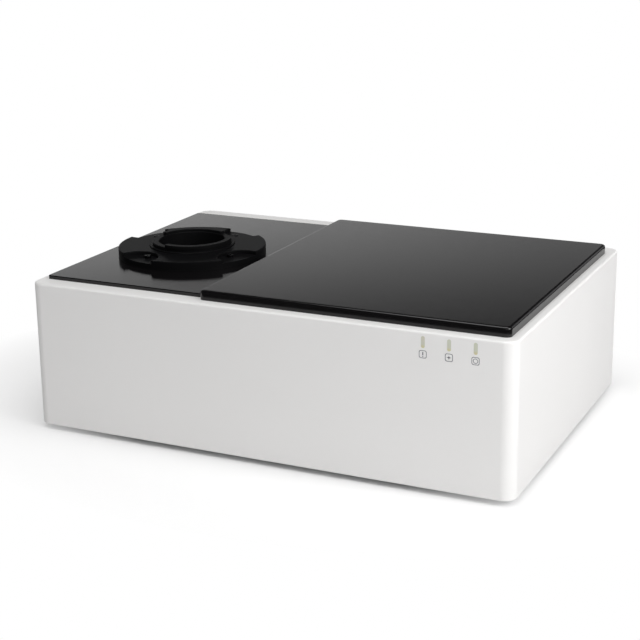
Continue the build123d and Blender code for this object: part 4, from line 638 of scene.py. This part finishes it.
class INSTRUMENT_OT_indicators(bpy.types.Operator):
    """Light guides in the front wall, with a small printed sign under each"""
    bl_idname = "instrument.indicators"
    bl_label = "Indicator lights and signs"

    def execute(self, context):
        settings = context.scene.instrument_signs
        low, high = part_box("light_pipes")
        foot_top = low.z + FOOT_SHARE * (high.z - low.z)
        paint(frosted_guide(settings.guide, settings.guide_glow, low.z, foot_top), "light_pipes")
        smooth_nodes("light_pipes")
        pitch = (high.x - low.x - GUIDE_FLANGE_W) / 2
        middle = (low.x + high.x) / 2
        z = CASING_HIGH.z - settings.below_top
        y = CASING_LOW.y
        ink = printed_ink(settings.ink)
        for index, (name, draw) in enumerate((
                ("ready_sign", self.draw_stroke), ("lamp_sign", self.draw_spark),
                ("link_sign", self.draw_ring))):
            bm = bmesh.new()
            centre = (middle + (index - 1) * pitch, z)
            self.draw_frame(bm, y, centre, settings.sign_size, settings.line)
            draw(bm, y, centre, settings.sign_size, settings.line)
            thicken(bm, settings.print_height)
            mesh_piece(name, bm, ink, "instrument")
        return {"FINISHED"}

    @staticmethod
    def draw_frame(bm, y, centre, side, line):
        """The rounded frame that each sign has."""
        radius = side * CORNER
        inner = rounded_square(side - 2 * line, radius - line / 2)
        add_ring(bm, rounded_square(side, radius), inner, y, centre)

    @staticmethod
    def draw_stroke(bm, y, centre, side, line):
        """An upright stroke with a dot under it."""
        add_plate(bm, bar(side * STROKE_UP, line * STROKE_LINES, side * STROKE_LENGTH), y, centre)
        add_plate(bm, bar(-side * DOT_DOWN, line * STROKE_LINES, line * DOT_LINES), y, centre)

    @staticmethod
    def draw_spark(bm, y, centre, side, line):
        """A spark of two crossed diamonds."""
        add_plate(bm, diamond(side * SPARK_ACROSS, line * SPARK_LINES), y, centre)
        add_plate(bm, diamond(line * SPARK_LINES, side * SPARK_UP), y, centre)

    @staticmethod
    def draw_ring(bm, y, centre, side, line):
        """A round ring."""
        add_ring(bm, circle(side * RING_R), circle(side * RING_R - line), y, centre)


# Studio camera, fitted to the casing's edges in the photograph
CAMERA_FOCAL_PX = 1464.62       # in pixels of a 640 pixel frame
CAMERA_AXIS_ROW = 288.0         # the frame's row that the lens points at
CAMERA_AZIMUTH = math.radians(25.39)
CAMERA_ELEVATION = math.radians(15.78)
CAMERA_ROLL = math.radians(-0.78)
CAMERA_DISTANCE = 1.62724
CAMERA_TARGET = Vector((-0.01803, 0.0, 0.12971 + CASING_LOW.z))     # what it turns about, in metres
FRAME_PX = 640
SENSOR_MM = 36.0
CLIP_END = 50.0

# Lamps: name, place, what it is aimed at, and size, in metres
LAMPS = (
    ("key_lamp", (1.35, -0.35, 0.8), (0.1, 0, 0.1), (0.9, 0.9)),
    ("fill_lamp", (0.9, -1.6, 0.9), (0, 0, 0.1), (1.2, 1.0)),
    ("top_lamp", (0.1, -0.3, 1.7), (0, 0, 0.1), (1.4, 1.0)),
)

# What gloss sees: a lit wall near the horizon and a dark room overhead, by the height of the ray
GLOSS_LEVELS = ((0.0, 0.6), (0.225, 0.6), (0.26, 0.36), (0.28, 0.04), (0.33, 0.01))
GLOSS_SIDE = (-0.58, -0.25)     # how far the ray points to the room's right
GLOSS_GAIN = (1.75, 0.75)       # the wall's brightness at either of those
GLOSS_BACK = (0.2, 0.7)         # how far the ray points to the room's back
GLOSS_FRONT_SHARE = 0.12        # what is left of the wall at the room's front
FLOOR_GLOSS = 0.03              # what gloss sees of the floor

# Paper floor: half its side in metres, and the reach of its shadow in half-sizes of the casing
FLOOR_HALF = 6.0
SHADOW_FULL = 1.1
SHADOW_NONE = 1.9


def aim_camera(camera):
    """Turns the camera to the photograph's angle, about the point that it is aimed at."""
    a, e, r = CAMERA_AZIMUTH, CAMERA_ELEVATION, CAMERA_ROLL
    back = Vector((math.sin(a) * math.cos(e), -math.cos(a) * math.cos(e), math.sin(e)))
    right = Vector((0, 0, 1)).cross(back).normalized()
    up = back.cross(right)
    rolled_right = right * math.cos(r) + up * math.sin(r)
    rolled_up = -right * math.sin(r) + up * math.cos(r)
    turn = Matrix((rolled_right, rolled_up, back)).transposed().to_4x4()
    camera.matrix_world = Matrix.Translation(CAMERA_TARGET + back * CAMERA_DISTANCE) @ turn


def area_lamp(name, place, target, size, power):
    """A soft white lamp aimed at a point."""
    light = bpy.data.lights.new(name, "AREA")
    light.shape = "RECTANGLE"
    light.size, light.size_y = size
    light.energy = power
    lamp = bpy.data.objects.new(name, light)
    bpy.context.scene.collection.objects.link(lamp)
    lamp.location = place
    lamp.rotation_euler = (Vector(target) - Vector(place)).to_track_quat("-Z", "Y").to_euler()


class INSTRUMENT_OT_studio(bpy.types.Operator):
    """Paper floor, backdrop light, lamps and the camera"""
    bl_idname = "instrument.studio"
    bl_label = "Studio"

    def execute(self, context):
        settings = context.scene.instrument_studio
        self.make_world(context.scene, settings)
        self.make_floor(settings)
        for name, place, target, size in LAMPS:
            area_lamp(name, place, target, size, getattr(settings, name))
        self.make_camera(context.scene)
        context.scene.view_settings.view_transform = "Standard"
        return {"FINISHED"}

    def make_camera(self, scene):
        """The photograph's camera, with its optical axis a little above the frame's middle."""
        camera_data = bpy.data.cameras.new("camera")
        camera_data.sensor_width = SENSOR_MM
        camera_data.lens = CAMERA_FOCAL_PX / FRAME_PX * SENSOR_MM
        camera_data.shift_y = -(FRAME_PX / 2 - CAMERA_AXIS_ROW) / FRAME_PX
        camera_data.clip_end = CLIP_END
        camera = bpy.data.objects.new("camera", camera_data)
        scene.collection.objects.link(camera)
        aim_camera(camera)
        scene.camera = camera

    def make_world(self, scene, settings):
        """White to the camera, a soft sky for light, and a gloss view that darkens away from the horizon."""
        world = bpy.data.worlds.new("studio")
        scene.world = world
        world.use_nodes = True
        tree = world.node_tree
        tree.nodes.clear()
        rays = add_node(tree, "ShaderNodeLightPath")
        ray = add_node(tree, "ShaderNodeTexCoord").outputs["Generated"]
        split = add_node(tree, "ShaderNodeSeparateXYZ", {"Vector": ray})
        glow = add_node(tree, "ShaderNodeValToRGB", {"Fac": split.outputs["Z"]})
        ramp = glow.color_ramp
        while len(ramp.elements) < len(GLOSS_LEVELS):
            ramp.elements.new(1.0)
        for element, (position, level) in zip(ramp.elements, GLOSS_LEVELS):
            element.position = position
            element.color = (level, level, level, 1)
        across = add_node(tree, "ShaderNodeMapRange",
                          {"Value": split.outputs["X"], "From Min": GLOSS_SIDE[0], "From Max": GLOSS_SIDE[1],
                           "To Min": GLOSS_GAIN[0], "To Max": GLOSS_GAIN[1]}).outputs["Result"]
        behind = add_node(tree, "ShaderNodeMapRange",
                          {"Value": split.outputs["Y"], "From Min": GLOSS_BACK[0], "From Max": GLOSS_BACK[1],
                           "To Min": GLOSS_FRONT_SHARE, "To Max": 1.0}).outputs["Result"]
        dimmer = add_node(tree, "ShaderNodeMath", {0: across, 1: behind}, operation="MULTIPLY").outputs[0]
        white = rgba(settings.backdrop)
        sky = add_node(tree, "ShaderNodeBackground", {"Color": white, "Strength": settings.sky})
        shine = add_node(tree, "ShaderNodeBackground", {"Color": glow.outputs["Color"], "Strength": dimmer})
        seen = add_node(tree, "ShaderNodeBackground", {"Color": white, "Strength": 1.0})
        gloss = add_node(tree, "ShaderNodeMixShader",
                         {"Fac": rays.outputs["Is Glossy Ray"], 1: sky.outputs[0], 2: shine.outputs[0]})
        through = add_node(tree, "ShaderNodeMixShader",
                           {"Fac": rays.outputs["Is Transmission Ray"], 1: gloss.outputs[0],
                            2: seen.outputs[0]})
        final = add_node(tree, "ShaderNodeMixShader",
                         {"Fac": rays.outputs["Is Camera Ray"], 1: through.outputs[0],
                          2: seen.outputs[0]})
        add_node(tree, "ShaderNodeOutputWorld", {"Surface": final.outputs[0]})

    def make_floor(self, settings):
        """White paper that keeps the shadow round the instrument and fades to pure white further out."""
        bm = bmesh.new()
        bmesh.ops.create_grid(bm, x_segments=1, y_segments=1, size=FLOOR_HALF)
        mesh = bpy.data.meshes.new("floor")
        bm.to_mesh(mesh)
        bm.free()
        floor = bpy.data.objects.new("floor", mesh)
        bpy.context.scene.collection.objects.link(floor)
        material, tree, place = start_material("floor_paper")
        colour = rgba(settings.backdrop)
        paper = add_node(tree, "ShaderNodeBsdfDiffuse", {"Color": colour})
        white = add_node(tree, "ShaderNodeEmission", {"Color": colour, "Strength": 1.0})
        reach = (CASING_HIGH - CASING_LOW) / 2
        scaled = add_node(tree, "ShaderNodeVectorMath", {0: place, 1: (1 / reach.x, 1 / reach.y, 0)},
                          operation="MULTIPLY").outputs[0]
        away = add_node(tree, "ShaderNodeVectorMath", {0: scaled}, operation="LENGTH").outputs["Value"]
        fade = add_node(tree, "ShaderNodeMapRange",
                        {"Value": away, "From Min": SHADOW_FULL, "From Max": SHADOW_NONE}).outputs["Result"]
        rays = add_node(tree, "ShaderNodeLightPath")
        plain = add_node(tree, "ShaderNodeMath", {0: rays.outputs["Is Camera Ray"], 1: fade},
                         operation="MULTIPLY").outputs[0]
        through = add_node(tree, "ShaderNodeMath", {0: plain, 1: rays.outputs["Is Transmission Ray"]},
                           operation="MAXIMUM").outputs[0]
        sheen = add_node(tree, "ShaderNodeEmission", {"Color": colour, "Strength": FLOOR_GLOSS})
        seen = add_node(tree, "ShaderNodeMixShader",
                        {"Fac": through, 1: paper.outputs[0], 2: white.outputs[0]})
        mix = add_node(tree, "ShaderNodeMixShader",
                       {"Fac": rays.outputs["Is Glossy Ray"], 1: seen.outputs[0], 2: sheen.outputs[0]})
        add_node(tree, "ShaderNodeOutputMaterial", {"Surface": mix.outputs[0]})
        mesh.materials.append(material)


PIECES = (INSTRUMENT_OT_covers, INSTRUMENT_OT_stage_parts, INSTRUMENT_OT_optics,
          INSTRUMENT_OT_chassis, INSTRUMENT_OT_indicators, INSTRUMENT_OT_studio)
SETTINGS = {
    "instrument_covers": CoverSettings,
    "instrument_stage": StageSettings,
    "instrument_signs": SignSettings,
    "instrument_panel": PanelSettings,
    "instrument_studio": StudioSettings,
}


class INSTRUMENT_PT_sidebar(bpy.types.Panel):
    """Buttons for each group of pieces, with what a user would change"""
    bl_idname = "INSTRUMENT_PT_sidebar"
    bl_label = "Instrument"
    bl_space_type = "VIEW_3D"
    bl_region_type = "UI"
    bl_category = "Instrument"

    def draw(self, context):
        layout = self.layout
        for piece in PIECES:
            layout.operator(piece.bl_idname)
        for name, kind in SETTINGS.items():
            box = layout.box()
            for key in kind.__annotations__:
                box.prop(getattr(context.scene, name), key)


def register():
    """Adds the settings to the scene, with the operators and the panel."""
    for kind in (*SETTINGS.values(), *PIECES, INSTRUMENT_PT_sidebar):
        bpy.utils.register_class(kind)
    for name, kind in SETTINGS.items():
        setattr(bpy.types.Scene, name, bpy.props.PointerProperty(type=kind))


def unregister():
    """Takes away what register added."""
    for name in SETTINGS:
        delattr(bpy.types.Scene, name)
    for kind in reversed((*SETTINGS.values(), *PIECES, INSTRUMENT_PT_sidebar)):
        bpy.utils.unregister_class(kind)


def main():
    """Dresses the whole instrument."""
    register()
    bpy.ops.instrument.covers()
    bpy.ops.instrument.stage_parts()
    bpy.ops.instrument.optics()
    bpy.ops.instrument.chassis()
    bpy.ops.instrument.indicators()
    bpy.ops.instrument.studio()


if __name__ == "__main__":
    main()
